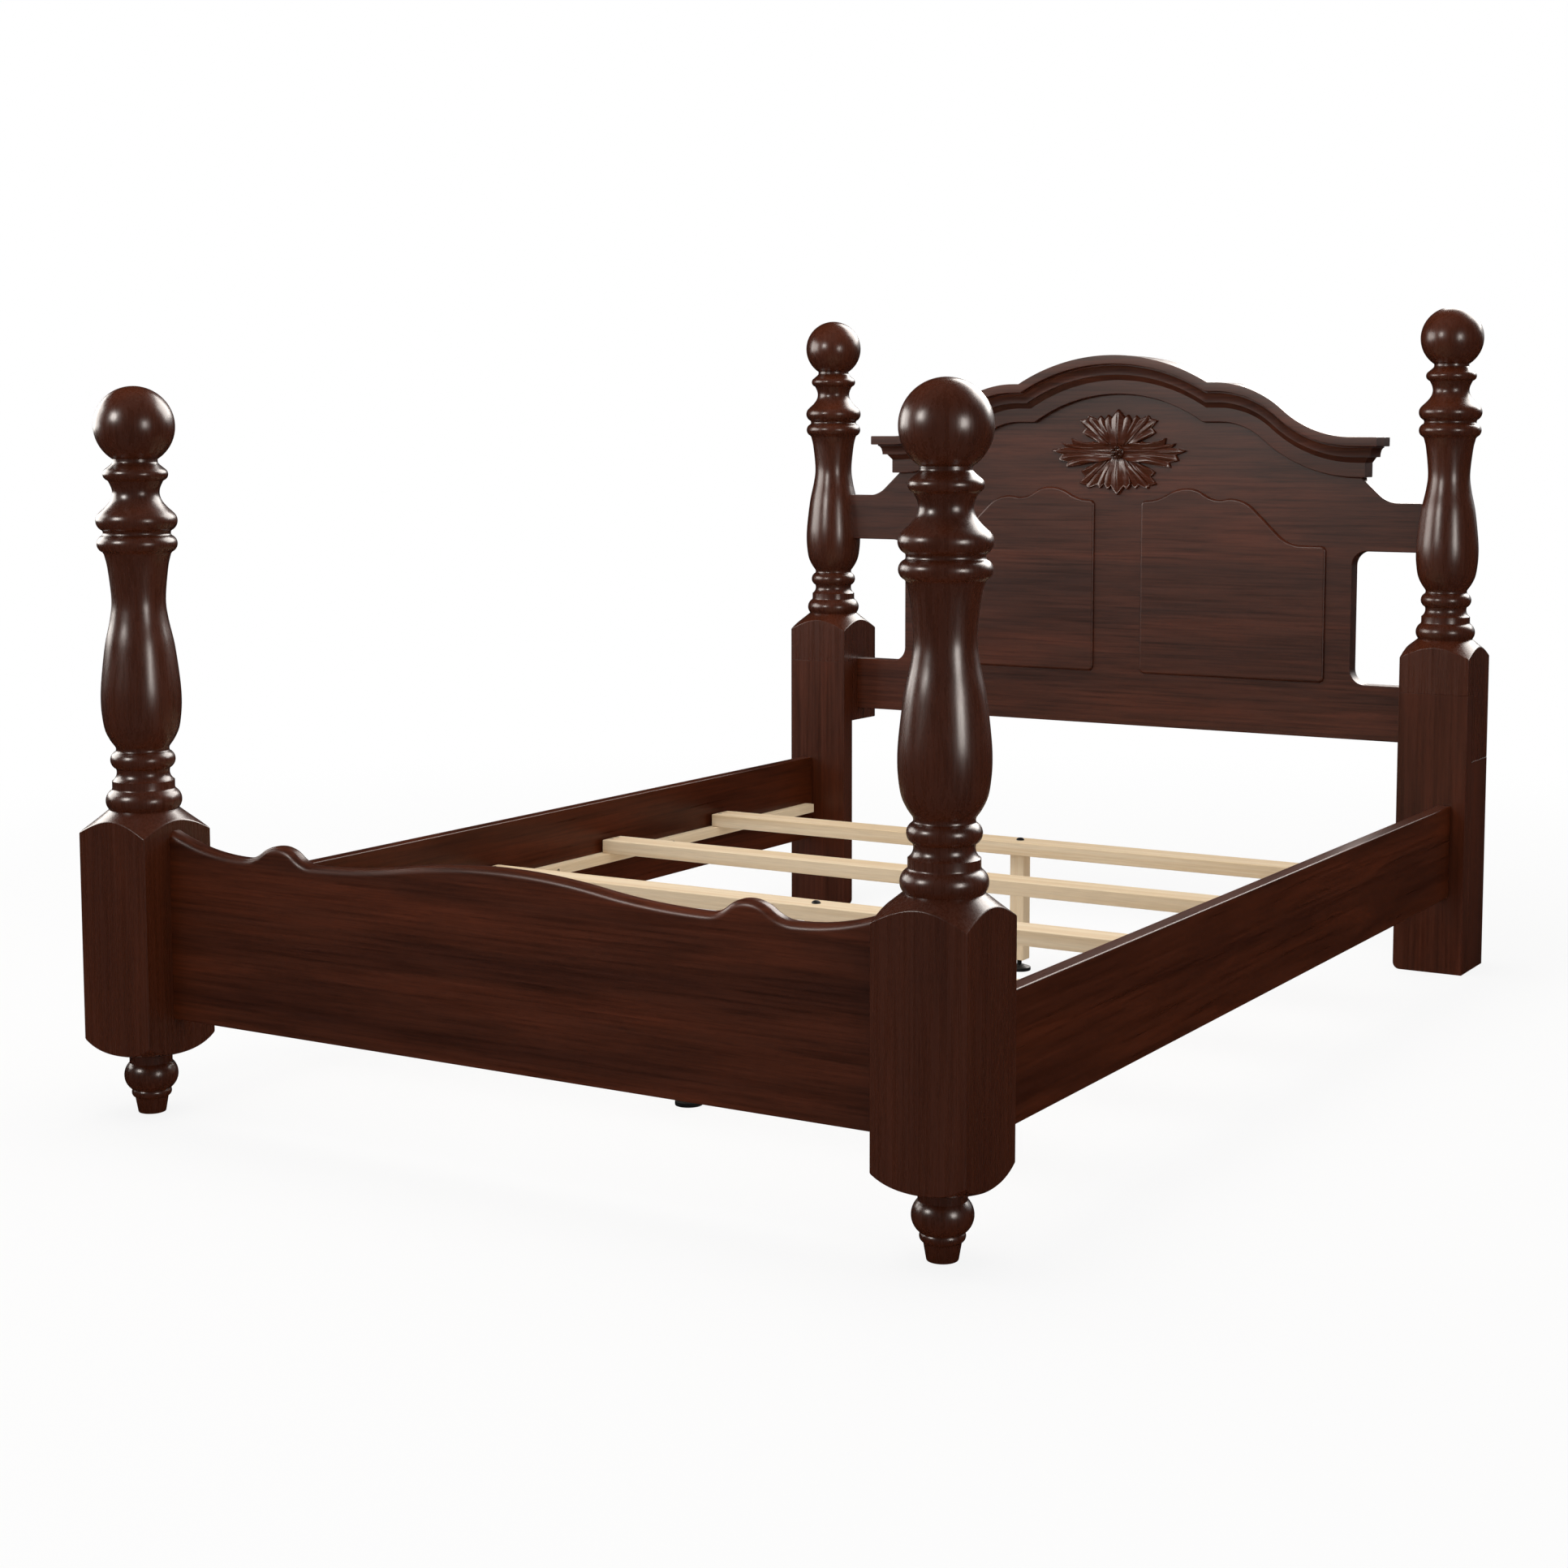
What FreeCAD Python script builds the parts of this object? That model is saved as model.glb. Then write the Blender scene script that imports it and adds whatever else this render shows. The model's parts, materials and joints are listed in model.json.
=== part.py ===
import FreeCAD, Part
import math
import os

# Four-poster bed with turned posts, a waved footboard and a crowned headboard.
# Millimetres. X runs across the bed, Y from foot to head, Z up from the floor.
# The origin is on the floor under the middle of the bed.

# Mattress space
mattress_width = 1524.0
mattress_play = 8.0
rail_length = 2086.4

# Side rails
rail_thickness = 27.5
rail_height = 195.0
rail_floor_gap = 163.8
rail_inset = 31.2
rail_edge_round = 3.0

# Square blocks of the posts
block_side = 148.7
block_edge_round = 1.5
foot_block_height = 346.4
head_block_height = 217.6
pommel_rise = 23.2
dome_rise = 20.4
dome_depth = 24.8
dome_flat_radius = 38.0

# Turned tops of the posts, alike at foot and head
turning_height = 615.1
turning_radius = 65.2
ball_radius = 65.0

# Bun feet
bun_height = 105.6
bun_radius = 44.0

# Head legs: a front board that laps the block and a side board under the block
leg_board_thickness = 38.7
leg_side_height = 449.2
leg_lap_height = 143.8
leg_corner_round = 15.0

# Footboard
footboard_thickness = 32.0
footboard_inset = 56.0
footboard_floor_gap = 169.5
footboard_dip_height = 282.0
footboard_centre_rise = 29.5
footboard_hump_rise = 25.5
footboard_end_rise = 32.0
footboard_edge_round = 12.0

# Headboard
headboard_thickness = 38.0
headboard_inset = 62.8
headboard_floor_gap = 478.0
lower_rail_height = 119.5
window_height = 287.5
window_round = 32.0
window_width = 130.0
arm_height = 104.0
shoulder_rise = 54.3
shoulder_run = 84.0
shoulder_round = 65.0

# Crown moulding, its heights measured square to its curve and its depths from the headboard's face
crown_arch_half_width = 230.0
crown_hump_flat = 15.0
crown_sweep_run = 315.0
crown_end_flat = 6.5
crown_sweep_rise = 118.2
crown_arch_rise = 62.5
cap_height = 20.0
cap_depth = 49.0
cove_height = 23.0
cove_lip = 3.0
cove_top_depth = 37.0
cove_bottom_depth = 29.0
bevel_height = 12.0
bevel_depth = 21.0
fascia_height = 31.0
fascia_depth = 12.0

# Raised fields of the headboard
field_thickness = 6.0
field_inner_x = 57.5
field_width = 434.5
field_height = 297.5
field_step = 92.0
field_peak_rise = 28.5
field_round = 12.0

# Carved leaf ornament
rosette_drop = 129.5
rosette_thickness = 16.0
rosette_edge_thickness = 7.0
side_leaf_length = 166.0
side_leaf_half_width = 31.0
upright_leaf_length = 96.0
upright_leaf_half_width = 34.0
corner_leaf_length = 112.0
corner_leaf_half_width = 28.0
corner_leaf_angle = 44.0
boss_radius = 17.0
seed_radius = 5.0
seed_ring_radius = 10.8
seed_count = 6

# Cleats and slats
cleat_thickness = 25.0
cleat_height = 20.0
cleat_end_gap = 32.0
slat_width = 65.0
slat_height = 28.0
slat_end_gap = 8.0
slat_rest_height = 87.2
slat_count = 4

# Centre legs and their levelling feet
leg_side = 32.0
leg_floor_gap = 24.0
insert_radius = 8.0
insert_length = 16.0
stem_radius = 5.0
stem_length = 62.0
stem_bore_length = 60.0
foot_radius = 24.0
foot_rim_height = 8.0
foot_cone_height = 4.0
foot_collar_radius = 11.0
leg_bolt_radius = 4.0
leg_bolt_length = 85.0
leg_bolt_head_radius = 8.5
leg_bolt_head_height = 5.5

# Screws, dowels, bolts and nuts
screw_radius = 2.2
screw_head_radius = 4.5
screw_head_depth = 3.0
slat_screw_length = 44.0
slat_screw_spacing = 20.0
cleat_screw_length = 44.0
plate_screw_length = 28.0
dowel_radius = 5.0
dowel_length = 50.0
joint_bolt_radius = 4.0
joint_bolt_length = 96.0
nut_radius = 7.0
nut_setback = 36.0

# Hook fittings between rails and posts
plate_thickness = 3.0
slot_plate_width = 24.0
slot_plate_height = 140.0
hook_plate_width = 20.0
hook_plate_height = 130.0
hook_thickness = 4.0
hook_neck_height = 16.0
hook_lip_drop = 9.0
hook_lip_depth = 5.0
hook_spacing = 60.0
hook_room = 12.0
hook_plate_screw_spacing = 100.0
slot_plate_screw_spacing = 118.0

# Room between pieces that fit in each other, and the reach of a cut past a face
fit_clearance = 0.2
cut_overrun = 5.0

# Turned outline of a post: (height share of turning_height, radius share of turning_radius)
turning_start_share = (0.0608, 0.867)
turning_shares = (
    ("line", (0.0642, 0.879)),
    ("arc", (0.0885, 0.939), (0.1138, 0.790)),
    ("line", (0.1187, 0.773)),
    ("line", (0.1382, 0.773)),
    ("arc", (0.1593, 0.653), (0.1707, 0.667)),
    ("arc", (0.1943, 0.803), (0.2179, 0.669)),
    ("arc", (0.2244, 0.656), (0.2309, 0.675)),
    ("curve", (0.2487, 0.791), (0.2731, 0.899), (0.3024, 0.956), (0.3479, 0.991), (0.4048, 0.969),
     (0.5007, 0.859), (0.5723, 0.719), (0.6275, 0.666), (0.7105, 0.742), (0.7478, 0.819)),
    ("line", (0.7527, 0.853)),
    ("arc", (0.7755, 0.988), (0.7974, 0.850)),
    ("arc", (0.8039, 0.828), (0.8104, 0.850)),
    ("arc", (0.8389, 1.000), (0.8576, 0.913)),
    ("line", (0.8608, 0.882)),
    ("curve", (0.8747, 0.745), (0.8909, 0.629), (0.9072, 0.580), (0.9234, 0.595), (0.9413, 0.669)),
    ("line", (0.9437, 0.693)),
    ("arc", (0.9610, 0.799), (0.9725, 0.748)),
    ("curve", (0.9795, 0.668), (0.9862, 0.594), (0.9905, 0.560), (0.9940, 0.552)),
    ("line", (1.0, 0.552)),
)

# Turned outline of a bun foot: (height share of bun_height, radius share of bun_radius)
bun_start_share = (0.0, 0.511)
bun_shares = (
    ("line", (0.246, 0.614)),
    ("line", (0.256, 0.636)),
    ("arc", (0.317, 0.739), (0.379, 0.705)),
    ("arc", (0.597, 1.000), (0.814, 0.795)),
    ("line", (1.0, 0.795)),
)

# Footboard's waves: share of its half width at each turn of the top edge
footboard_inner_dip_share = 0.551
footboard_hump_share = 0.654
footboard_outer_dip_share = 0.768

# Raised field's top: share of its width at each turn, and the heights as shares of its peak rise
field_turn_shares = (0.029, 0.259, 0.434, 0.494, 0.873)
field_dip_share = 0.14
field_hump_share = 0.246
field_slope_share = 1.42

# Half outlines of the carved leaves: (share of the length, share of the half width)
side_leaf_shares = ((0.0, 0.20), (0.25, 0.60), (0.50, 0.72), (0.696, 1.00), (0.71, 0.62), (0.85, 0.645),
                    (0.86, 0.36), (1.0, 0.0))
upright_leaf_shares = ((0.0, 0.16), (0.30, 0.50), (0.60, 0.86), (0.77, 1.00), (0.76, 0.74), (0.835, 0.68),
                       (0.84, 0.42), (1.0, 0.0))
corner_leaf_shares = ((0.0, 0.15), (0.35, 0.52), (0.60, 0.78), (0.80, 1.00), (0.82, 0.60), (1.0, 0.36),
                      (0.93, 0.0))

# Heights of joint hardware as shares of the piece that they hold
board_dowel_shares = (0.16, 0.84)
footboard_bolt_shares = (0.36, 0.64)
leg_lap_dowel_shares = (0.28, 0.72)
leg_top_dowel_shares = (0.25, 0.75)
leg_edge_dowel_shares = (0.15, 0.5, 0.85)

# Places that follow from the sizes
rail_inner_x = mattress_width / 2 + mattress_play
rail_outer_x = rail_inner_x + rail_thickness
block_outer_x = rail_outer_x + rail_inset
post_x = block_outer_x - block_side / 2
block_inner_x = post_x - block_side / 2
rail_end_y = rail_length / 2
post_y = rail_end_y + block_side / 2
block_outer_y = rail_end_y + block_side
rail_top_z = rail_floor_gap + rail_height
rail_mid_x = (rail_inner_x + rail_outer_x) / 2
rail_mid_z = rail_floor_gap + rail_height / 2
corner_radius = block_side / math.sqrt(2)
foot_block_z = bun_height + dome_depth
foot_turning_z = foot_block_z + foot_block_height
head_turning_z = leg_side_height + head_block_height
leg_front_top_z = leg_side_height + leg_lap_height
footboard_front_y = -block_outer_y + footboard_inset
footboard_back_y = footboard_front_y + footboard_thickness
footboard_mid_y = (footboard_front_y + footboard_back_y) / 2
footboard_end_height = footboard_dip_height + footboard_end_rise
headboard_front_y = rail_end_y + headboard_inset
headboard_back_y = headboard_front_y + headboard_thickness
headboard_mid_y = (headboard_front_y + headboard_back_y) / 2
lower_rail_top_z = headboard_floor_gap + lower_rail_height
arm_bottom_z = lower_rail_top_z + window_height
arm_top_z = arm_bottom_z + arm_height
arm_mid_z = arm_bottom_z + arm_height / 2
window_inner_x = block_inner_x - window_width
moulding_height = cap_height + cove_height + bevel_height + fascia_height
crown_end_z = arm_top_z + shoulder_rise + moulding_height
crown_shoulder_z = crown_end_z + crown_sweep_rise
crown_peak_z = crown_shoulder_z + crown_arch_rise
arch_radius = (crown_arch_half_width ** 2 + crown_arch_rise ** 2) / (2 * crown_arch_rise)
crown_hump_x = crown_arch_half_width + crown_hump_flat
crown_foot_x = crown_hump_x + crown_sweep_run
crown_half_width = crown_foot_x + crown_end_flat
rosette_z = crown_peak_z - moulding_height - rosette_drop
slat_z = rail_floor_gap + slat_rest_height
slat_top_z = slat_z + slat_height
slat_end_x = rail_inner_x - slat_end_gap
slat_pitch = rail_length / (slat_count + 1)
slat_places = [(i - (slat_count - 1) / 2) * slat_pitch for i in range(slat_count)]
cleat_inner_x = rail_inner_x - cleat_thickness
slat_screw_x = (slat_end_x + cleat_inner_x) / 2
cleat_end_y = rail_end_y - cleat_end_gap

across = FreeCAD.Vector(1, 0, 0)
along = FreeCAD.Vector(0, 1, 0)
up = FreeCAD.Vector(0, 0, 1)
centre = FreeCAD.Vector(0, 0, 0)


def point(x, y, z):
    return FreeCAD.Vector(x, y, z)


def block(low_x, high_x, low_y, high_y, low_z, high_z):
    return Part.makeBox(high_x - low_x, high_y - low_y, high_z - low_z, point(low_x, low_y, low_z))


def rod(start, direction, radius, length):
    return Part.makeCylinder(radius, length, start, direction)


def mirrored(shape):
    return shape.mirror(centre, across)


def line(start, end):
    return Part.LineSegment(start, end).toShape()


def arc(start, middle, end):
    return Part.Arc(start, middle, end).toShape()


def smooth_curve(points):
    curve = Part.BSplineCurve()
    curve.interpolate(points)
    return curve.toShape()


def polyline(points):
    return [line(a, b) for a, b in zip(points, points[1:])]


def solid_along_y(edges, low_y, high_y):
    """The outline, drawn at Y zero, drawn out from low_y to high_y."""
    face = Part.Face(Part.Wire(Part.__sortEdges__(edges)))
    solid = face.extrude(along * (high_y - low_y))
    solid.translate(along * low_y)
    return solid


def export(name, shape):
    shape.exportStep("parts/" + name + ".step")
    print(name, len(shape.Solids), "solids", round(shape.Volume / 1000), "cm3", "valid", shape.isValid())


def export_pair(name, right_shape):
    export(name + "_right", right_shape)
    export(name + "_left", mirrored(right_shape))


def group(solids):
    return Part.makeCompound(solids)


# Turned work

def turned_edges(start_share, stretch_shares, height, radius, grow):
    """Edges of a turned outline in the XZ plane, from its shares."""
    def at(share):
        return point(share[1] * radius + grow, 0, share[0] * height)

    edges = []
    last = at(start_share)
    for kind, *shares in stretch_shares:
        points = [last] + [at(share) for share in shares]
        if kind == "line":
            edges.append(line(*points))
        if kind == "arc":
            edges.append(arc(*points))
        if kind == "curve":
            edges.append(smooth_curve(points))
        last = points[-1]
    return edges, last


def spun(edges):
    """Solid that the closed outline sweeps as it turns about the Z axis."""
    face = Part.Face(Part.Wire(Part.__sortEdges__(edges)))
    return face.revolve(centre, up, 360)


def turned_top(grow):
    """Turned part of a post above its pommel, the block's corners at Z zero; grow is added to each radius."""
    edges, neck = turned_edges(turning_start_share, turning_shares, turning_height, turning_radius, grow)
    ball = ball_radius + grow
    ball_z = neck.z + math.sqrt(ball ** 2 - neck.x ** 2)
    ball_top = point(0, 0, ball_z + ball)
    edges.append(arc(neck, point(ball, 0, ball_z), ball_top))
    start = edges[0].Vertexes[0].Point
    axis_start = point(0, 0, start.z)
    edges.append(line(ball_top, axis_start))
    edges.append(line(axis_start, start))
    return spun(edges)


def square_prism(height):
    prism = block(-block_side / 2, block_side / 2, -block_side / 2, block_side / 2, 0, height)
    uprights = [e for e in prism.Edges if e.BoundBox.ZLength > height / 2]
    return prism.makeFillet(block_edge_round, uprights)


def pommel_edges(corner_z):
    """Turned slope from the corners of a block up to the first ring."""
    top = point(turning_start_share[1] * turning_radius, 0, corner_z + turning_start_share[0] * turning_height)
    mid_face = point(block_side / 2, 0, corner_z + pommel_rise)
    corner = point(corner_radius, 0, corner_z)
    return [line(point(0, 0, top.z), top), arc(top, mid_face, corner)]


def post_block(height, domed):
    """Squared block with a pommel on top and, on a foot post, a dome below; bottom corners at Z zero."""
    edges = pommel_edges(height)
    corner = point(corner_radius, 0, 0)
    edges.append(line(point(corner_radius, 0, height), corner))
    if domed:
        base = point(0, 0, -dome_depth)
        flat = point(dome_flat_radius, 0, -dome_depth)
        edges.append(arc(corner, point(block_side / 2, 0, -dome_rise), flat))
        edges.append(line(flat, base))
    else:
        base = centre
        edges.append(line(corner, base))
    edges.append(line(base, point(0, 0, edges[0].Vertexes[0].Point.z)))
    full_height = edges[0].Vertexes[0].Point.z - base.z
    prism = square_prism(full_height)
    prism.translate(base)
    return spun(edges).common(prism)


def post(height, domed):
    """Block and turned top as one piece of wood."""
    top = turned_top(0)
    top.translate(up * height)
    return post_block(height, domed).fuse(top).removeSplitter()


def bun_foot():
    edges, top = turned_edges(bun_start_share, bun_shares, bun_height, bun_radius, 0)
    start = edges[0].Vertexes[0].Point
    edges.append(line(top, point(0, 0, top.z)))
    edges.append(line(point(0, 0, top.z), centre))
    edges.append(line(centre, start))
    return spun(edges)


# Outlines made of arcs

def ogee(start, end, depth):
    """Two equal arcs, level at both ends, moved square to the curve by depth on the underside."""
    run = end.x - start.x
    rise = end.z - start.z
    radius = (run ** 2 + rise ** 2) / (4 * abs(rise))
    swing = 2 * math.atan2(abs(rise), abs(run))
    turn = math.copysign(1, rise)
    side = math.copysign(1, run)
    edges = []
    for origin, sense in ((start, 1), (end, -1)):
        hub_z = origin.z + sense * turn * radius
        reach = radius + sense * turn * depth
        points = []
        for angle in (0, swing / 2, swing):
            x = origin.x + sense * side * reach * math.sin(angle)
            z = hub_z - sense * turn * reach * math.cos(angle)
            points.append(point(x, 0, z))
        edges.append(arc(*points))
    return edges


def slope(start, end, steepness):
    """A straight slope with an equal arc at each end, level there; steepness is a share of the chord's angle."""
    run = end.x - start.x
    rise = end.z - start.z
    angle = steepness * math.atan2(abs(rise), run)
    radius = (run * math.tan(angle) - abs(rise)) * math.cos(angle) / (1 - math.cos(angle)) / 2
    turn = math.copysign(1, rise)
    edges = []
    ends = []
    for origin, sense in ((start, 1), (end, -1)):
        points = []
        for swing in (0, angle / 2, angle):
            x = origin.x + sense * radius * math.sin(swing)
            z = origin.z + sense * turn * radius * (1 - math.cos(swing))
            points.append(point(x, 0, z))
        edges.append(arc(*points))
        ends.append(points[-1])
    return edges + [line(*ends)]


def crown_line(depth, half_width):
    """Right half of the crown's curve, moved down square to itself by depth, from its peak to its end."""
    arch_hub_z = crown_peak_z - arch_radius
    radius = arch_radius - depth
    shoulder_z = crown_shoulder_z - depth
    kink_x = math.sqrt(radius ** 2 - (shoulder_z - arch_hub_z) ** 2)
    half_angle = math.atan2(kink_x, shoulder_z - arch_hub_z) / 2
    arch_mid = point(radius * math.sin(half_angle), 0, arch_hub_z + radius * math.cos(half_angle))
    peak = point(0, 0, crown_peak_z - depth)
    kink = point(kink_x, 0, shoulder_z)
    hump = point(crown_hump_x, 0, shoulder_z)
    foot = point(crown_foot_x, 0, crown_end_z - depth)
    sweep = ogee(point(crown_hump_x, 0, crown_shoulder_z), point(crown_foot_x, 0, crown_end_z), depth)
    end = point(half_width, 0, foot.z)
    return [arc(peak, arch_mid, kink), line(kink, hump)] + sweep + [line(foot, end)]


def both_halves(edges):
    return edges + [mirrored(edge) for edge in edges]


def crown_band(top_depth, bottom_depth, top_half_width, bottom_half_width):
    """Closed outline between two depths below the crown's curve."""
    ends = line(point(top_half_width, 0, crown_end_z - top_depth),
                point(bottom_half_width, 0, crown_end_z - bottom_depth))
    half = crown_line(top_depth, top_half_width) + crown_line(bottom_depth, bottom_half_width) + [ends]
    return Part.Wire(Part.__sortEdges__(both_halves(half)))


# Foot of the bed

def foot_post():
    shape = post(foot_block_height, True)
    shape.translate(point(post_x, -post_y, foot_block_z))
    for cut in rail_fitting_cuts(-1) + footboard_holes() + hanger_holes():
        shape = shape.cut(cut)
    return shape


def hanger_holes():
    base = point(post_x, -post_y, bun_height - joint_bolt_length / 2)
    return [rod(base, up, joint_bolt_radius + fit_clearance, joint_bolt_length)]


def hanger_bolts():
    base = point(post_x, -post_y, bun_height - joint_bolt_length / 2)
    return rod(base, up, joint_bolt_radius, joint_bolt_length)


def placed_bun_foot():
    shape = bun_foot()
    shape.translate(point(post_x, -post_y, 0))
    return shape.cut(hanger_holes()[0])


def footboard_top():
    """Right half of the footboard's waved top edge."""
    half = block_inner_x
    dip_z = footboard_floor_gap + footboard_dip_height
    middle = point(0, 0, dip_z + footboard_centre_rise)
    inner_dip = point(footboard_inner_dip_share * half, 0, dip_z)
    hump = point(footboard_hump_share * half, 0, dip_z + footboard_hump_rise)
    outer_dip = point(footboard_outer_dip_share * half, 0, dip_z)
    run = half - outer_dip.x
    radius = (run ** 2 + footboard_end_rise ** 2) / (2 * footboard_end_rise)
    half_angle = math.asin(run / radius) / 2
    rise_mid = point(outer_dip.x + radius * math.sin(half_angle), 0, dip_z + radius * (1 - math.cos(half_angle)))
    end = point(half, 0, dip_z + footboard_end_rise)
    waves = ogee(middle, inner_dip, 0) + ogee(inner_dip, hump, 0) + ogee(hump, outer_dip, 0)
    return waves + [arc(outer_dip, rise_mid, end)]


def footboard():
    half = block_inner_x
    end_z = footboard_floor_gap + footboard_end_height
    edges = both_halves(footboard_top())
    edges += polyline([point(half, 0, end_z), point(half, 0, footboard_floor_gap),
                       point(-half, 0, footboard_floor_gap), point(-half, 0, end_z)])
    shape = solid_along_y(edges, footboard_front_y, footboard_back_y)
    top_edges = [e for e in shape.Edges if e.BoundBox.ZMin > footboard_floor_gap + footboard_dip_height / 2
                 and e.BoundBox.YLength < fit_clearance and e.BoundBox.XLength > fit_clearance]
    shape = shape.makeFillet(footboard_edge_round, top_edges)
    for cut in footboard_holes() + footboard_nut_holes():
        shape = shape.cut(cut).cut(mirrored(cut))
    return shape


def footboard_heights(shares):
    return [footboard_floor_gap + share * footboard_dip_height for share in shares]


def dowels_across(x, y, heights, extra):
    """Dowels through the joint at x, grown by extra for their holes."""
    start_x = x - dowel_length / 2 - extra
    return [rod(point(start_x, y, z), across, dowel_radius + extra, dowel_length + 2 * extra) for z in heights]


def joint_bolts(x, y, heights, extra):
    start_x = x - joint_bolt_length / 2 - extra
    return [rod(point(start_x, y, z), across, joint_bolt_radius + extra, joint_bolt_length + 2 * extra)
            for z in heights]


def barrel_nuts(x, mid_y, back_y, heights):
    """Cross nuts let in from the back, each bored for its bolt."""
    start_y = mid_y - 2 * joint_bolt_radius
    nuts = []
    for z in heights:
        nut = rod(point(x - nut_setback, start_y, z), along, nut_radius, back_y - start_y)
        bore_start = point(x - nut_setback - 2 * nut_radius, mid_y, z)
        nuts.append(nut.cut(rod(bore_start, across, joint_bolt_radius + fit_clearance, 4 * nut_radius)))
    return nuts


def nut_holes(x, mid_y, back_y, heights):
    radius = nut_radius + fit_clearance
    start_y = mid_y - 2 * joint_bolt_radius
    length = back_y - start_y + cut_overrun
    return [rod(point(x - nut_setback, start_y, z), along, radius, length) for z in heights]


def footboard_holes():
    dowels = dowels_across(block_inner_x, footboard_mid_y, footboard_heights(board_dowel_shares), fit_clearance)
    bolts = joint_bolts(block_inner_x, footboard_mid_y, footboard_heights(footboard_bolt_shares), fit_clearance)
    return dowels + bolts


def footboard_nut_holes():
    heights = footboard_heights(footboard_bolt_shares)
    return nut_holes(block_inner_x, footboard_mid_y, footboard_back_y, heights)


# Head of the bed

def head_post():
    shape = post(head_block_height, False)
    shape.translate(point(post_x, post_y, leg_side_height))
    lap = block(block_inner_x - cut_overrun, block_outer_x + cut_overrun, rail_end_y - cut_overrun,
                rail_end_y + leg_board_thickness, leg_side_height - cut_overrun, leg_front_top_z)
    for cut in [lap] + leg_dowels(fit_clearance) + headboard_holes():
        shape = shape.cut(cut)
    return shape


def leg_front_board():
    shape = block(block_inner_x, block_outer_x, rail_end_y, rail_end_y + leg_board_thickness, 0, leg_front_top_z)
    inner_foot = [e for e in shape.Edges if e.BoundBox.XMax < post_x and e.BoundBox.ZMax < rail_floor_gap]
    shape = shape.makeFillet(leg_corner_round, inner_foot)
    for cut in rail_fitting_cuts(1) + leg_dowels(fit_clearance):
        shape = shape.cut(cut)
    return shape


def leg_side_board():
    shape = block(block_outer_x - leg_board_thickness, block_outer_x, rail_end_y + leg_board_thickness,
                  block_outer_y, 0, leg_side_height)
    for cut in leg_dowels(fit_clearance):
        shape = shape.cut(cut)
    return shape


def leg_dowels(extra):
    """Dowels of one head leg: board to block, side board to block and side board to front board."""
    radius = dowel_radius + extra
    length = dowel_length + 2 * extra
    joint_y = rail_end_y + leg_board_thickness
    side_mid_x = block_outer_x - leg_board_thickness / 2
    side_depth = block_outer_y - joint_y
    solids = []
    for share in leg_lap_dowel_shares:
        x = block_inner_x + share * block_side
        z = leg_side_height + leg_lap_height / 2
        solids.append(rod(point(x, joint_y - length / 2, z), along, radius, length))
    for share in leg_top_dowel_shares:
        y = joint_y + share * side_depth
        solids.append(rod(point(side_mid_x, y, leg_side_height - length / 2), up, radius, length))
    for share in leg_edge_dowel_shares:
        z = share * leg_side_height
        solids.append(rod(point(side_mid_x, joint_y - length / 2, z), along, radius, length))
    return solids


def lower_rail_heights(shares):
    return [headboard_floor_gap + share * lower_rail_height for share in shares]


def arm_dowel_x():
    """Where the arm's middle meets the vase of the head post."""
    probe = turned_top(fit_clearance)
    probe.translate(point(post_x, post_y, head_turning_z))
    sight = line(point(0, headboard_mid_y, arm_mid_z), point(post_x, headboard_mid_y, arm_mid_z))
    return probe.common(sight).BoundBox.XMin


def headboard_dowels(extra):
    lower = dowels_across(block_inner_x, headboard_mid_y, lower_rail_heights(board_dowel_shares), extra)
    return lower + dowels_across(arm_dowel_x(), headboard_mid_y, [arm_mid_z], extra)


def headboard_bolt_heights():
    return [headboard_floor_gap + lower_rail_height / 2]


def headboard_holes():
    bolts = joint_bolts(block_inner_x, headboard_mid_y, headboard_bolt_heights(), fit_clearance)
    return headboard_dowels(fit_clearance) + bolts


def shoulder():
    """From the arm's top, a round then a straight slope up to the crown's end."""
    start = point(crown_half_width + shoulder_run, 0, arm_top_z)
    top = point(crown_half_width, 0, arm_top_z + shoulder_rise)
    hub = point(start.x, 0, arm_top_z + shoulder_round)
    sight = hub - top
    angle = math.asin(shoulder_round / sight.Length) - math.atan2(sight.z, sight.x)
    points = [start]
    for turn in (angle / 2, angle):
        points.append(hub - point(shoulder_round * math.sin(turn), 0, shoulder_round * math.cos(turn)))
    return [arc(*points), line(points[-1], top)], start, top


def headboard():
    round_edges, arm_start, shoulder_top = shoulder()
    inner = window_inner_x
    low = point(inner + window_round, 0, lower_rail_top_z)
    low_end = point(inner, 0, lower_rail_top_z + window_round)
    high = point(inner, 0, arm_bottom_z - window_round)
    high_end = point(inner + window_round, 0, arm_bottom_z)
    bend = window_round * (1 - math.sqrt(0.5))
    low_bend = point(inner + bend, 0, lower_rail_top_z + bend)
    high_bend = point(inner + bend, 0, arm_bottom_z - bend)
    edges = polyline([point(0, 0, headboard_floor_gap), point(block_inner_x, 0, headboard_floor_gap),
                      point(block_inner_x, 0, lower_rail_top_z), low])
    edges += [arc(low, low_bend, low_end), line(low_end, high), arc(high, high_bend, high_end)]
    edges += polyline([high_end, point(post_x, 0, arm_bottom_z), point(post_x, 0, arm_top_z), arm_start])
    edges += round_edges
    edges.append(line(shoulder_top, point(crown_half_width, 0, crown_end_z - cap_height)))
    edges += crown_line(cap_height, crown_half_width)
    shape = solid_along_y(both_halves(edges), headboard_front_y, headboard_back_y)
    vase = turned_top(fit_clearance)
    vase.translate(point(post_x, post_y, head_turning_z))
    nut_cuts = nut_holes(block_inner_x, headboard_mid_y, headboard_back_y, headboard_bolt_heights())
    for cut in [vase] + headboard_holes() + nut_cuts:
        shape = shape.cut(cut).cut(mirrored(cut))
    return shape


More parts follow.
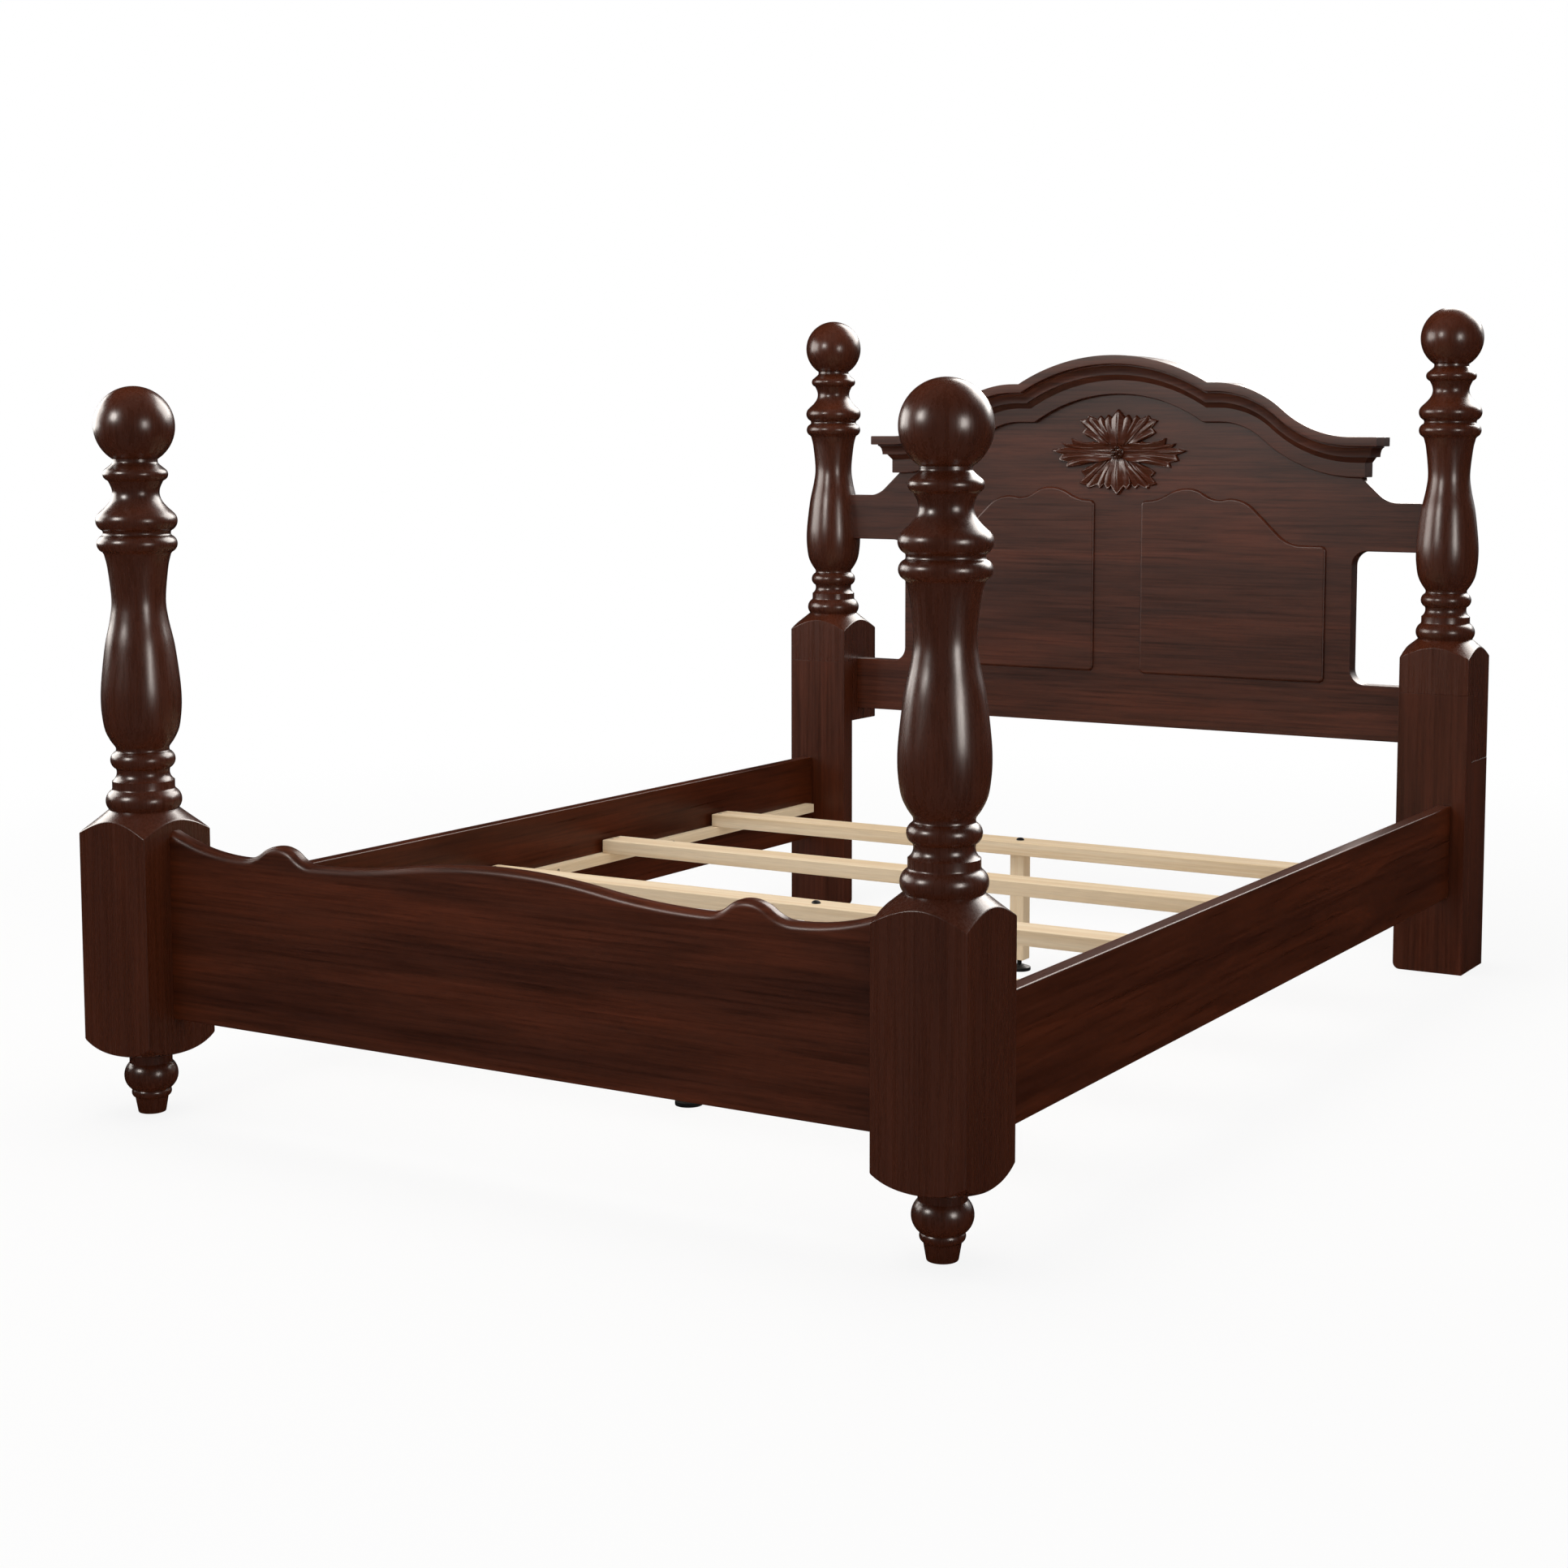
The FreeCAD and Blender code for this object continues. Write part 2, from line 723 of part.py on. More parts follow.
def crown_cap():
    half_width = crown_half_width + cap_depth
    band = crown_band(0, cap_height, half_width, half_width)
    return band_solid(band, cap_depth, -headboard_thickness)


def band_solid(wire, front_depth, back_depth):
    """Band drawn out from one depth before the headboard's face to another."""
    solid = Part.Face(wire).extrude(along * (front_depth - back_depth))
    solid.translate(along * (headboard_front_y - front_depth))
    return solid


def band_loft(sections):
    """Moulding whose lower edge changes with its depth: (bottom depth, depth before the face) pairs."""
    wires = []
    for bottom, before in sections:
        wire = crown_band(cap_height, bottom, crown_half_width + cove_top_depth, crown_half_width + before)
        wire.translate(along * (headboard_front_y - before))
        wires.append(wire)
    return Part.makeLoft(wires, True, len(wires) == 2)


def cove_sections():
    """Quarter-ellipse hollow between the lip under the cap and the cove's lower edge."""
    drop = cove_height - cove_lip
    reach = cove_top_depth - cove_bottom_depth
    sections = []
    for angle in (0, 30, 60, 90):
        turn = math.radians(angle)
        bottom = cap_height + cove_lip + drop * (1 - math.cos(turn))
        sections.append((bottom, cove_top_depth - reach * math.sin(turn)))
    return sections


def return_block(points):
    """Moulding's return along the headboard's edge, from its outline in (x, depth) pairs."""
    corners = [point(crown_half_width + x, 0, crown_end_z - depth) for x, depth in points]
    return solid_along_y(polyline(corners + corners[:1]), headboard_front_y, headboard_back_y)


def crown_cove():
    bottom = cap_height + cove_height
    foot = bottom + bevel_height
    hollow = band_loft(cove_sections())
    ledge = band_solid(crown_band(cap_height, bottom, crown_half_width + cove_top_depth,
                                  crown_half_width + cove_bottom_depth), cove_bottom_depth, bevel_depth)
    slope = band_loft([(bottom, bevel_depth), (foot, fascia_depth)])
    backing = band_solid(crown_band(cap_height, foot, crown_half_width + cove_top_depth,
                                    crown_half_width + fascia_depth), fascia_depth, 0)
    side = return_block([(0, cap_height)] + [(before, depth) for depth, before in cove_sections()]
                        + [(bevel_depth, bottom), (fascia_depth, foot), (0, foot)])
    return hollow.multiFuse([ledge, slope, backing, side, mirrored(side)]).removeSplitter()


def crown_fascia():
    top = cap_height + cove_height + bevel_height
    bottom = top + fascia_height
    half_width = crown_half_width + fascia_depth
    front = band_solid(crown_band(top, bottom, half_width, half_width), fascia_depth, 0)
    side = return_block([(0, top), (fascia_depth, top), (fascia_depth, bottom), (0, bottom)])
    return front.multiFuse([side, mirrored(side)]).removeSplitter()


def raised_field():
    """Right raised field, its top in waves that fall to a low outer step."""
    low_z = lower_rail_top_z
    step_z = low_z + field_height
    inner_z = step_z + field_step
    heights = (inner_z, inner_z + field_peak_rise, inner_z + field_dip_share * field_peak_rise,
               inner_z + field_hump_share * field_peak_rise, step_z)
    turns = [point(field_inner_x + share * field_width, 0, z) for share, z in zip(field_turn_shares, heights)]
    outer_x = field_inner_x + field_width
    edges = []
    for start, end in zip(turns, turns[1:-1]):
        edges += ogee(start, end, 0)
    edges += slope(turns[-2], turns[-1], field_slope_share)
    edges += polyline([turns[-1], point(outer_x, 0, step_z), point(outer_x, 0, low_z),
                       point(field_inner_x, 0, low_z), point(field_inner_x, 0, inner_z), turns[0]])
    shape = solid_along_y(edges, headboard_front_y - field_thickness, headboard_front_y)
    mid_x = (field_inner_x + outer_x) / 2
    through = [e for e in shape.Edges if e.BoundBox.YLength > field_thickness / 2]
    corners = [e for e in through if abs(e.BoundBox.Center.x - mid_x) > field_width / 2 - fit_clearance]
    return shape.makeFillet(field_round, corners)


def leaf(shares, length, half_width, angle):
    """Flat leaf with a toothed edge, pointing along its angle from the ornament's middle."""
    half = [(share[0] * length, share[1] * half_width) for share in shares]
    outline = half + [(reach, -wide) for reach, wide in reversed(half)]
    turn = math.radians(angle)
    corners = []
    for reach, wide in outline:
        x = reach * math.cos(turn) - wide * math.sin(turn)
        z = reach * math.sin(turn) + wide * math.cos(turn)
        if not corners or (corners[-1] - point(x, 0, z)).Length > fit_clearance:
            corners.append(point(x, 0, z))
    return solid_along_y(polyline(corners + corners[:1]), -rosette_thickness, 0)


def rosette():
    """Eight leaves round a boss, domed so that they thin out towards their tips."""
    leaves = [rod(centre, -along, boss_radius, rosette_thickness)]
    for angle in (0, 180):
        leaves.append(leaf(side_leaf_shares, side_leaf_length, side_leaf_half_width, angle))
    for angle in (90, 270):
        leaves.append(leaf(upright_leaf_shares, upright_leaf_length, upright_leaf_half_width, angle))
    for angle in (corner_leaf_angle, 180 - corner_leaf_angle, 180 + corner_leaf_angle, -corner_leaf_angle):
        leaves.append(leaf(corner_leaf_shares, corner_leaf_length, corner_leaf_half_width, angle))
    flat = leaves[0].multiFuse(leaves[1:]).removeSplitter()
    drop = rosette_thickness - rosette_edge_thickness
    dome_radius = (side_leaf_length ** 2 + drop ** 2) / (2 * drop)
    dome = Part.makeSphere(dome_radius, point(0, dome_radius - rosette_thickness, 0))
    shape = flat.common(dome)
    shape.translate(point(0, headboard_front_y, rosette_z))
    return shape


def rosette_seeds():
    """Round seeds standing on the boss, one in the middle and a ring round it."""
    face_y = headboard_front_y - rosette_thickness
    places = [(0, 0)]
    for i in range(seed_count):
        turn = 2 * math.pi * (i + 0.5) / seed_count
        places.append((seed_ring_radius * math.cos(turn), seed_ring_radius * math.sin(turn)))
    spread = seed_ring_radius * math.sin(math.pi / seed_count) - fit_clearance
    radius = min(seed_radius, spread)
    seeds = []
    for x, z in places:
        seat = Part.makeSphere(radius, point(x, face_y, rosette_z + z))
        front = block(x - radius, x + radius, face_y - radius, face_y, rosette_z + z - radius, rosette_z + z + radius)
        seeds.append(seat.common(front))
    return seeds


# Rails and their hook fittings

def side_rail():
    shape = block(rail_inner_x, rail_outer_x, -rail_end_y, rail_end_y, rail_floor_gap, rail_top_z)
    long_edges = [e for e in shape.Edges if e.BoundBox.YLength > rail_length / 2]
    shape = shape.makeFillet(rail_edge_round, long_edges)
    for end in (-1, 1):
        recess_y = end * (rail_end_y - plate_thickness)
        recess = facing(hook_plate_width + 2 * fit_clearance, hook_plate_height + 2 * fit_clearance,
                        recess_y, recess_y + end * cut_overrun)
        shape = shape.cut(recess)
        for hole in plate_screws(end, -1, fit_clearance):
            shape = shape.cut(hole)
    for hole in cleat_screws(fit_clearance):
        shape = shape.cut(hole)
    return shape


def facing(width, height, start_y, end_y):
    """Upright box centred on the rail's section."""
    return block(rail_mid_x - width / 2, rail_mid_x + width / 2, min(start_y, end_y), max(start_y, end_y),
                 rail_mid_z - height / 2, rail_mid_z + height / 2)


def rail_fitting_cuts(end):
    """Recess for the slot plate, room behind it for the hooks, and its screw holes."""
    face_y = end * rail_end_y
    plate = facing(slot_plate_width + 2 * fit_clearance, slot_plate_height + 2 * fit_clearance,
                   face_y - end * cut_overrun, face_y + end * plate_thickness)
    room_height = hook_spacing + hook_neck_height + 2 * (hook_lip_drop + hook_room)
    room_depth = plate_thickness + hook_lip_depth + hook_room
    room = facing(hook_room, room_height, face_y, face_y + end * room_depth)
    return [plate, room] + plate_screws(end, 1, fit_clearance)


def slot_plate(end):
    """Flush plate in the post with two upright slots."""
    face_y = end * rail_end_y
    shape = facing(slot_plate_width, slot_plate_height, face_y, face_y + end * plate_thickness)
    slot_width = hook_thickness + 2 * fit_clearance
    for place in (-1, 1):
        low_z = rail_mid_z + place * hook_spacing / 2 - hook_neck_height / 2
        slot = block(rail_mid_x - slot_width / 2, rail_mid_x + slot_width / 2,
                     min(face_y, face_y + end * plate_thickness) - cut_overrun,
                     max(face_y, face_y + end * plate_thickness) + cut_overrun,
                     low_z, low_z + hook_neck_height + hook_lip_drop + fit_clearance)
        shape = shape.cut(slot)
    for hole in plate_screws(end, 1, fit_clearance):
        shape = shape.cut(hole)
    return shape


def hook_plate(end):
    """Plate let into the rail's end with two hooks that drop behind the slot plate."""
    face_y = end * rail_end_y
    shape = facing(hook_plate_width, hook_plate_height, face_y, face_y - end * plate_thickness)
    hooks = []
    for place in (-1, 1):
        mid_z = rail_mid_z + place * hook_spacing / 2
        neck_end = face_y + end * (plate_thickness + fit_clearance + hook_lip_depth)
        lip_start = face_y + end * (plate_thickness + fit_clearance)
        neck = block(rail_mid_x - hook_thickness / 2, rail_mid_x + hook_thickness / 2, min(face_y, neck_end),
                     max(face_y, neck_end), mid_z - hook_neck_height / 2, mid_z + hook_neck_height / 2)
        lip = block(rail_mid_x - hook_thickness / 2, rail_mid_x + hook_thickness / 2, min(lip_start, neck_end),
                    max(lip_start, neck_end), mid_z - hook_neck_height / 2 - hook_lip_drop, mid_z)
        hooks += [neck, lip]
    shape = shape.multiFuse(hooks).removeSplitter()
    for hole in plate_screws(end, -1, fit_clearance):
        shape = shape.cut(hole)
    return shape


def countersunk(head, direction, length, extra):
    """Countersunk screw with its flat head at the point head, grown by extra for its hole."""
    cone = Part.makeCone(screw_head_radius + extra, screw_radius + extra, screw_head_depth, head, direction)
    shank = rod(head, direction, screw_radius + extra, length + extra)
    return cone.fuse(shank).removeSplitter()


def plate_screws(end, into_post, extra):
    """Screws of the slot plate (into_post 1) or of the hook plate (into_post -1) at one end of the rail."""
    face_y = end * rail_end_y
    spacing = slot_plate_screw_spacing if into_post > 0 else hook_plate_screw_spacing
    solids = []
    for place in (-1, 1):
        head = point(rail_mid_x, face_y, rail_mid_z + place * spacing / 2)
        solids.append(countersunk(head, along * (end * into_post), plate_screw_length, extra))
    return solids


def cleat():
    shape = block(cleat_inner_x, rail_inner_x, -cleat_end_y, cleat_end_y, slat_z - cleat_height, slat_z)
    for hole in cleat_screws(fit_clearance) + slat_screws(fit_clearance):
        shape = shape.cut(hole)
    return shape


def cleat_screws(extra):
    """Screws through the cleat into the rail, between the slats and beside the end ones."""
    places = [(i - slat_count / 2) * slat_pitch for i in range(slat_count + 1)]
    mid_z = slat_z - cleat_height / 2
    return [countersunk(point(cleat_inner_x, y, mid_z), across, cleat_screw_length, extra) for y in places]


# Slats and centre legs

def slat(y):
    shape = block(-slat_end_x, slat_end_x, y - slat_width / 2, y + slat_width / 2, slat_z, slat_top_z)
    for hole in slat_screws(fit_clearance):
        shape = shape.cut(hole).cut(mirrored(hole))
    return shape.cut(leg_bolt_hole(y))


def slat_screws(extra):
    solids = []
    for y in slat_places:
        for place in (-1, 1):
            head = point(slat_screw_x, y + place * slat_screw_spacing / 2, slat_top_z)
            solids.append(countersunk(head, -up, slat_screw_length, extra))
    return solids


def leg_bolt_hole(y):
    start = point(0, y, slat_top_z - leg_bolt_length)
    return rod(start, up, leg_bolt_radius + fit_clearance, leg_bolt_length + cut_overrun)


def leg_bolt(y):
    """Round-headed bolt down through the slat into its leg."""
    shank = rod(point(0, y, slat_top_z - leg_bolt_length + fit_clearance), up, leg_bolt_radius,
                leg_bolt_length - fit_clearance)
    dome_radius = (leg_bolt_head_radius ** 2 + leg_bolt_head_height ** 2) / (2 * leg_bolt_head_height)
    dome = Part.makeSphere(dome_radius, point(0, y, slat_top_z + leg_bolt_head_height - dome_radius))
    cap = rod(point(0, y, slat_top_z), up, leg_bolt_head_radius, leg_bolt_head_height)
    return shank.fuse(dome.common(cap)).removeSplitter()


def support_leg(y):
    shape = block(-leg_side / 2, leg_side / 2, y - leg_side / 2, y + leg_side / 2, leg_floor_gap, slat_z)
    sleeve = rod(point(0, y, leg_floor_gap), up, insert_radius + fit_clearance, insert_length + fit_clearance)
    bore = rod(point(0, y, leg_floor_gap), up, stem_radius + fit_clearance, stem_bore_length)
    return shape.cut(sleeve).cut(bore).cut(leg_bolt_hole(y))


def leg_insert(y):
    sleeve = rod(point(0, y, leg_floor_gap), up, insert_radius, insert_length)
    return sleeve.cut(rod(point(0, y, leg_floor_gap), up, stem_radius + fit_clearance, insert_length))


def leveller(y):
    """Round foot with a stem that screws into the leg."""
    rim = rod(point(0, y, 0), up, foot_radius, foot_rim_height)
    cone = Part.makeCone(foot_radius, foot_collar_radius, foot_cone_height, point(0, y, foot_rim_height), up)
    stem = rod(point(0, y, foot_rim_height), up, stem_radius, stem_length)
    return rim.fuse(cone).fuse(stem).removeSplitter()


def build():
    os.makedirs("parts", exist_ok=True)
    export_pair("foot_post", foot_post())
    export_pair("bun_foot", placed_bun_foot())
    export("foot_hanger_bolts", group([hanger_bolts(), mirrored(hanger_bolts())]))
    export("footboard_panel", footboard())
    dowels = dowels_across(block_inner_x, footboard_mid_y, footboard_heights(board_dowel_shares), 0)
    bolts = joint_bolts(block_inner_x, footboard_mid_y, footboard_heights(footboard_bolt_shares), 0)
    nuts = barrel_nuts(block_inner_x, footboard_mid_y, footboard_back_y, footboard_heights(footboard_bolt_shares))
    for name, solids in (("dowels", dowels), ("bolts", bolts), ("barrel_nuts", nuts)):
        export("footboard_" + name, group(solids + [mirrored(s) for s in solids]))
    export_pair("head_post", head_post())
    export_pair("head_leg_front_board", leg_front_board())
    export_pair("head_leg_side_board", leg_side_board())
    pegs = leg_dowels(0)
    export("head_leg_dowels", group(pegs + [mirrored(s) for s in pegs]))
    export("headboard_panel", headboard())
    bolts = joint_bolts(block_inner_x, headboard_mid_y, headboard_bolt_heights(), 0)
    nuts = barrel_nuts(block_inner_x, headboard_mid_y, headboard_back_y, headboard_bolt_heights())
    for name, solids in (("dowels", headboard_dowels(0)), ("bolts", bolts), ("barrel_nuts", nuts)):
        export("headboard_" + name, group(solids + [mirrored(s) for s in solids]))
    export_pair("raised_panel", raised_field())
    export("crown_cap", crown_cap())
    export("crown_cove", crown_cove())
    export("crown_fascia", crown_fascia())
    export("rosette_leaves", rosette())
    export("rosette_seeds", group(rosette_seeds()))
    export_pair("side_rail", side_rail())
    export_pair("slat_cleat", cleat())
    screws = cleat_screws(0)
    export("cleat_screws", group(screws + [mirrored(s) for s in screws]))
    hooks = [hook_plate(-1), hook_plate(1)]
    plates = [slot_plate(-1), slot_plate(1)]
    screws = [s for end in (-1, 1) for side in (-1, 1) for s in plate_screws(end, side, 0)]
    for name, solids in (("rail_hook_plates", hooks), ("post_slot_plates", plates), ("plate_screws", screws)):
        export(name, group(solids + [mirrored(s) for s in solids]))
    screws = slat_screws(0)
    export("slat_screws", group(screws + [mirrored(s) for s in screws]))
    for number, y in enumerate(slat_places, 1):
        export("bed_slat_" + str(number), slat(y))
        export("support_leg_" + str(number), support_leg(y))
        export("leveller_" + str(number), leveller(y))
    export("leg_bolts", group([leg_bolt(y) for y in slat_places]))
    export("leg_inserts", group([leg_insert(y) for y in slat_places]))


build()
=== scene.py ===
# %% [markdown]
# A four-poster bed, piece by piece.
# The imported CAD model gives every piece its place, so this lesson only makes the looks:
# smooth turned posts, eased boards, a carved ornament, lacquer, bare pine and black fittings.
# Outlines are written in millimetres, as in a workshop drawing, and become metres when a mesh is made.

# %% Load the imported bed
import json
import math

import bmesh
import bpy
from mathutils import Matrix, Vector


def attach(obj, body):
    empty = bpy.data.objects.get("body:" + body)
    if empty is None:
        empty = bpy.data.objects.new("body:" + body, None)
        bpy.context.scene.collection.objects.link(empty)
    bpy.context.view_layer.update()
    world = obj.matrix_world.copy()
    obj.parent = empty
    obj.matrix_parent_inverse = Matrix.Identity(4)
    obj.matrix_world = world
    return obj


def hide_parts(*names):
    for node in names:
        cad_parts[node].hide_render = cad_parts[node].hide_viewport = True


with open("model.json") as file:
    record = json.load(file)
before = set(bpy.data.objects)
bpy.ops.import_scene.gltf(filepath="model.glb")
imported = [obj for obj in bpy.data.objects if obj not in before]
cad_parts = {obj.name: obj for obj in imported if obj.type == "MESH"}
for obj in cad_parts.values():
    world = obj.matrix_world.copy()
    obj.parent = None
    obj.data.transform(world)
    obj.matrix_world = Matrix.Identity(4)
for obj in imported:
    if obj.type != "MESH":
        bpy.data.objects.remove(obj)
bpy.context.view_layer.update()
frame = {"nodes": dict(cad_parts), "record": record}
mm = 0.001

# %% [markdown]
# The camera comes first, so that every later render can be laid over the photograph.
# Its place and lens were worked out from the vanishing lines of the rails, the boards and the posts,
# and the lens shift moves the frame without bending the uprights.

# %% Camera
camera_place = Vector((2.3520, -4.0912, 1.1353))
camera_turn, camera_tilt, camera_roll = (math.radians(angle) for angle in (30.222, 5.67, -0.08))
camera_data = bpy.data.cameras.new("camera")
camera_data.sensor_width = 36.0
camera_data.lens = 57.67
camera_data.shift_x = -0.04786
camera_data.shift_y = -0.0645
camera_data.clip_end = 100.0
camera = bpy.data.objects.new("camera", camera_data)
bpy.context.scene.collection.objects.link(camera)
aim = Matrix.Rotation(camera_turn, 4, "Z") @ Matrix.Rotation(math.pi / 2 - camera_tilt, 4, "X")
camera.matrix_world = Matrix.Translation(camera_place) @ aim @ Matrix.Rotation(-camera_roll, 4, "Z")
bpy.context.scene.camera = camera
bpy.context.scene.view_settings.view_transform = "Standard"
print("camera", tuple(round(c, 2) for c in camera.location))

# %% [markdown]
# The wood is stained dark cherry under a semi-gloss lacquer. A picture of veneer would smear on the
# turnings, so the grain is made by rule: noise that is stretched along the board. Broad bands turn the
# brown redder or nearly black, and fine pores darken it in short dashes. The pattern reads Object
# coordinates, so it stays fixed to each piece, and the grain's direction is an input, because posts grow
# upwards, boards lie across and rails run lengthwise.


# %% Shader helpers
def new_material(name):
    material = bpy.data.materials.new(name)
    material.use_nodes = True
    tree = material.node_tree
    return material, tree, tree.nodes["Principled BSDF"]


def node(tree, kind, links=(), **values):
    """Add a node, set its values and link the named inputs."""
    made = tree.nodes.new(kind)
    for key, value in values.items():
        if key in made.inputs:
            made.inputs[key].default_value = value
        else:
            setattr(made, key, value)
    for key, source in links:
        tree.links.new(source, made.inputs[key])
    return made


def ramp(tree, source, *stops):
    """Colour ramp from (place, colour) stops."""
    made = node(tree, "ShaderNodeValToRGB", [("Fac", source)])
    elements = made.color_ramp.elements
    while len(elements) < len(stops):
        elements.new(0.5)
    for element, (place, colour) in zip(elements, stops):
        element.position = place
        element.color = (*colour, 1.0)
    return made.outputs["Color"]


def grey(level):
    return (level, level, level)


print("half grey is written", grey(0.5))


# %% Grain and bump
def grain_scale(direction, along, across):
    """Scale of a pattern on each axis. It is small along the grain, so the pattern runs long there."""
    return [along if axis == direction else across for axis in "XYZ"]


def grain(tree, direction, along, across, detail, rough, twist=0.0):
    """Noise on Object coordinates, long in the direction of the grain and squeezed across it."""
    scale = grain_scale(direction, along, across)
    place = node(tree, "ShaderNodeTexCoord")
    mapping = node(tree, "ShaderNodeMapping", [("Vector", place.outputs["Object"])], Scale=scale)
    noise = node(tree, "ShaderNodeTexNoise", [("Vector", mapping.outputs["Vector"])], Scale=1.0,
                 Detail=detail, Roughness=rough, Distortion=twist)
    return noise.outputs["Fac"]


def multiplied(tree, amount, first, second):
    """Two colours multiplied. A Mix node's sockets share their names, so its colours go by number."""
    made = node(tree, "ShaderNodeMix", [(6, first), (7, second)], data_type="RGBA", blend_type="MULTIPLY",
                Factor=amount)
    return made.outputs[2]


def roughened(tree, shader, height, strength, depth):
    """Give a finish a fine bump."""
    bump = node(tree, "ShaderNodeBump", [("Height", height)], Strength=strength, Distance=depth)
    tree.links.new(bump.outputs["Normal"], shader.inputs["Normal"])


print("bands of grain along Z are scaled by", grain_scale("Z", along=1.6, across=16.0))

# %% Cherry lacquer
dark_heart = (0.0385, 0.0078, 0.0026)
warm_brown = (0.0600, 0.0126, 0.0038)
red_streak = (0.0890, 0.0172, 0.0046)


def cherry_lacquer(name, direction, roughness, specular, figure):
    """Lacquered wood with grain along X, Y or Z; figure is the strength of its bands and streaks."""
    material, tree, shader = new_material(name)
    bands = grain(tree, direction, along=1.6, across=16.0, detail=4.0, rough=0.55, twist=0.6)
    streaks = grain(tree, direction, along=4.0, across=170.0, detail=5.0, rough=0.60, twist=0.2)
    pores = grain(tree, direction, along=45.0, across=1100.0, detail=2.0, rough=0.5)
    dark, red = (tuple(Vector(warm_brown).lerp(Vector(c), figure)) for c in (dark_heart, red_streak))
    broad = ramp(tree, bands, (0.28, dark), (0.50, warm_brown), (0.74, red))
    deep, pale = grey(1 - 0.38 * figure), grey(1 + 0.25 * figure)
    fine = ramp(tree, streaks, (0.32, deep), (0.52, grey(1.0)), (0.74, pale))
    dots = ramp(tree, pores, (0.32, grey(0.66)), (0.46, grey(1.0)))
    colour = multiplied(tree, 0.7, multiplied(tree, 0.9, broad, fine), dots)
    tree.links.new(colour, shader.inputs["Base Color"])
    sheen = ramp(tree, streaks, (0.30, grey(roughness - 0.03)), (0.75, grey(roughness + 0.05)))
    tree.links.new(sheen, shader.inputs["Roughness"])
    shader.inputs["Specular IOR Level"].default_value = specular
    roughened(tree, shader, pores, strength=0.05, depth=0.0004)
    return material


upright_gloss = cherry_lacquer("cherry_turned", "Z", roughness=0.27, specular=0.55, figure=0.45)
upright_cherry = cherry_lacquer("cherry_upright", "Z", roughness=0.32, specular=0.30, figure=0.9)
across_gloss = cherry_lacquer("cherry_headboard", "X", roughness=0.34, specular=0.40, figure=1.3)
across_cherry = cherry_lacquer("cherry_across", "X", roughness=0.32, specular=0.26, figure=1.1)
along_cherry = cherry_lacquer("cherry_along", "Y", roughness=0.30, specular=0.15, figure=1.0)
carved_cherry = cherry_lacquer("cherry_carved", "X", roughness=0.26, specular=0.50, figure=0.5)
print("lacquers for posts, legs, headboard, footboard, rails and carving")

# %% [markdown]
# Slats, cleats and centre legs are planed pine with no finish: pale cream with soft amber year rings that
# run the length of each stick. The feet are black plastic, and the screws and bolts are blackened steel.
# Hidden fittings still get honest finishes, because the model can be taken apart.


# %% Pine, plastic and metal
def bare_wood(name, direction, pale, amber):
    material, tree, shader = new_material(name)
    rings = grain(tree, direction, along=0.9, across=60.0, detail=4.0, rough=0.55, twist=0.5)
    fibres = grain(tree, direction, along=25.0, across=700.0, detail=3.0, rough=0.5)
    tone = ramp(tree, rings, (0.35, pale), (0.60, amber), (0.72, pale))
    hair = ramp(tree, fibres, (0.25, grey(0.86)), (0.60, grey(1.0)))
    tree.links.new(multiplied(tree, 0.8, tone, hair), shader.inputs["Base Color"])
    shader.inputs["Roughness"].default_value = 0.62
    shader.inputs["Specular IOR Level"].default_value = 0.3
    roughened(tree, shader, fibres, strength=0.12, depth=0.0005)
    return material


def speckled(name, dark, light, roughness, metallic, fineness):
    """Plain finish with a fine speckle in its colour and its gloss."""
    material, tree, shader = new_material(name)
    place = node(tree, "ShaderNodeTexCoord").outputs["Object"]
    noise = node(tree, "ShaderNodeTexNoise", [("Vector", place)], Scale=fineness, Detail=4.0)
    specks = noise.outputs["Fac"]
    tree.links.new(ramp(tree, specks, (0.35, dark), (0.65, light)), shader.inputs["Base Color"])
    gloss = ramp(tree, specks, (0.30, grey(roughness - 0.08)), (0.70, grey(roughness + 0.08)))
    tree.links.new(gloss, shader.inputs["Roughness"])
    shader.inputs["Metallic"].default_value = metallic
    roughened(tree, shader, specks, strength=0.1, depth=0.0002)
    return material


pine_cream, pine_amber = (0.79, 0.64, 0.45), (0.71, 0.53, 0.33)
pine_across = bare_wood("pine_across", "X", pine_cream, pine_amber)
pine_along = bare_wood("pine_along", "Y", pine_cream, pine_amber)
pine_upright = bare_wood("pine_upright", "Z", pine_cream, pine_amber)
beech = bare_wood("beech_dowel", "X", (0.62, 0.45, 0.28), (0.52, 0.35, 0.20))
black_plastic = speckled("black_plastic", (0.006, 0.006, 0.007), (0.014, 0.014, 0.015),
                         roughness=0.50, metallic=0.0, fineness=2600.0)
black_steel = speckled("black_steel", (0.010, 0.010, 0.011), (0.026, 0.025, 0.024),
                       roughness=0.42, metallic=0.6, fineness=1800.0)
zinc_steel = speckled("zinc_steel", (0.42, 0.42, 0.41), (0.60, 0.60, 0.57),
                      roughness=0.38, metallic=1.0, fineness=900.0)
dark_stain = speckled("dark_stain", (0.030, 0.0065, 0.0022), (0.046, 0.0100, 0.0032),
                      roughness=0.24, metallic=0.0, fineness=700.0)
print("plain finishes ready")

# %% [markdown]
# Most pieces start as a row of rings of points with a skin over them, and every piece ends the same way:
# its doubles are merged, its faces are turned outwards, its rounded edges are shaded evenly, it is hung
# on the body it rides on, and the CAD nodes that it stands for are hidden.

# %% Finishing a piece
weld_distance = 0.001 * mm


def metres(x, y, z):
    return Vector((x, y, z)) * mm


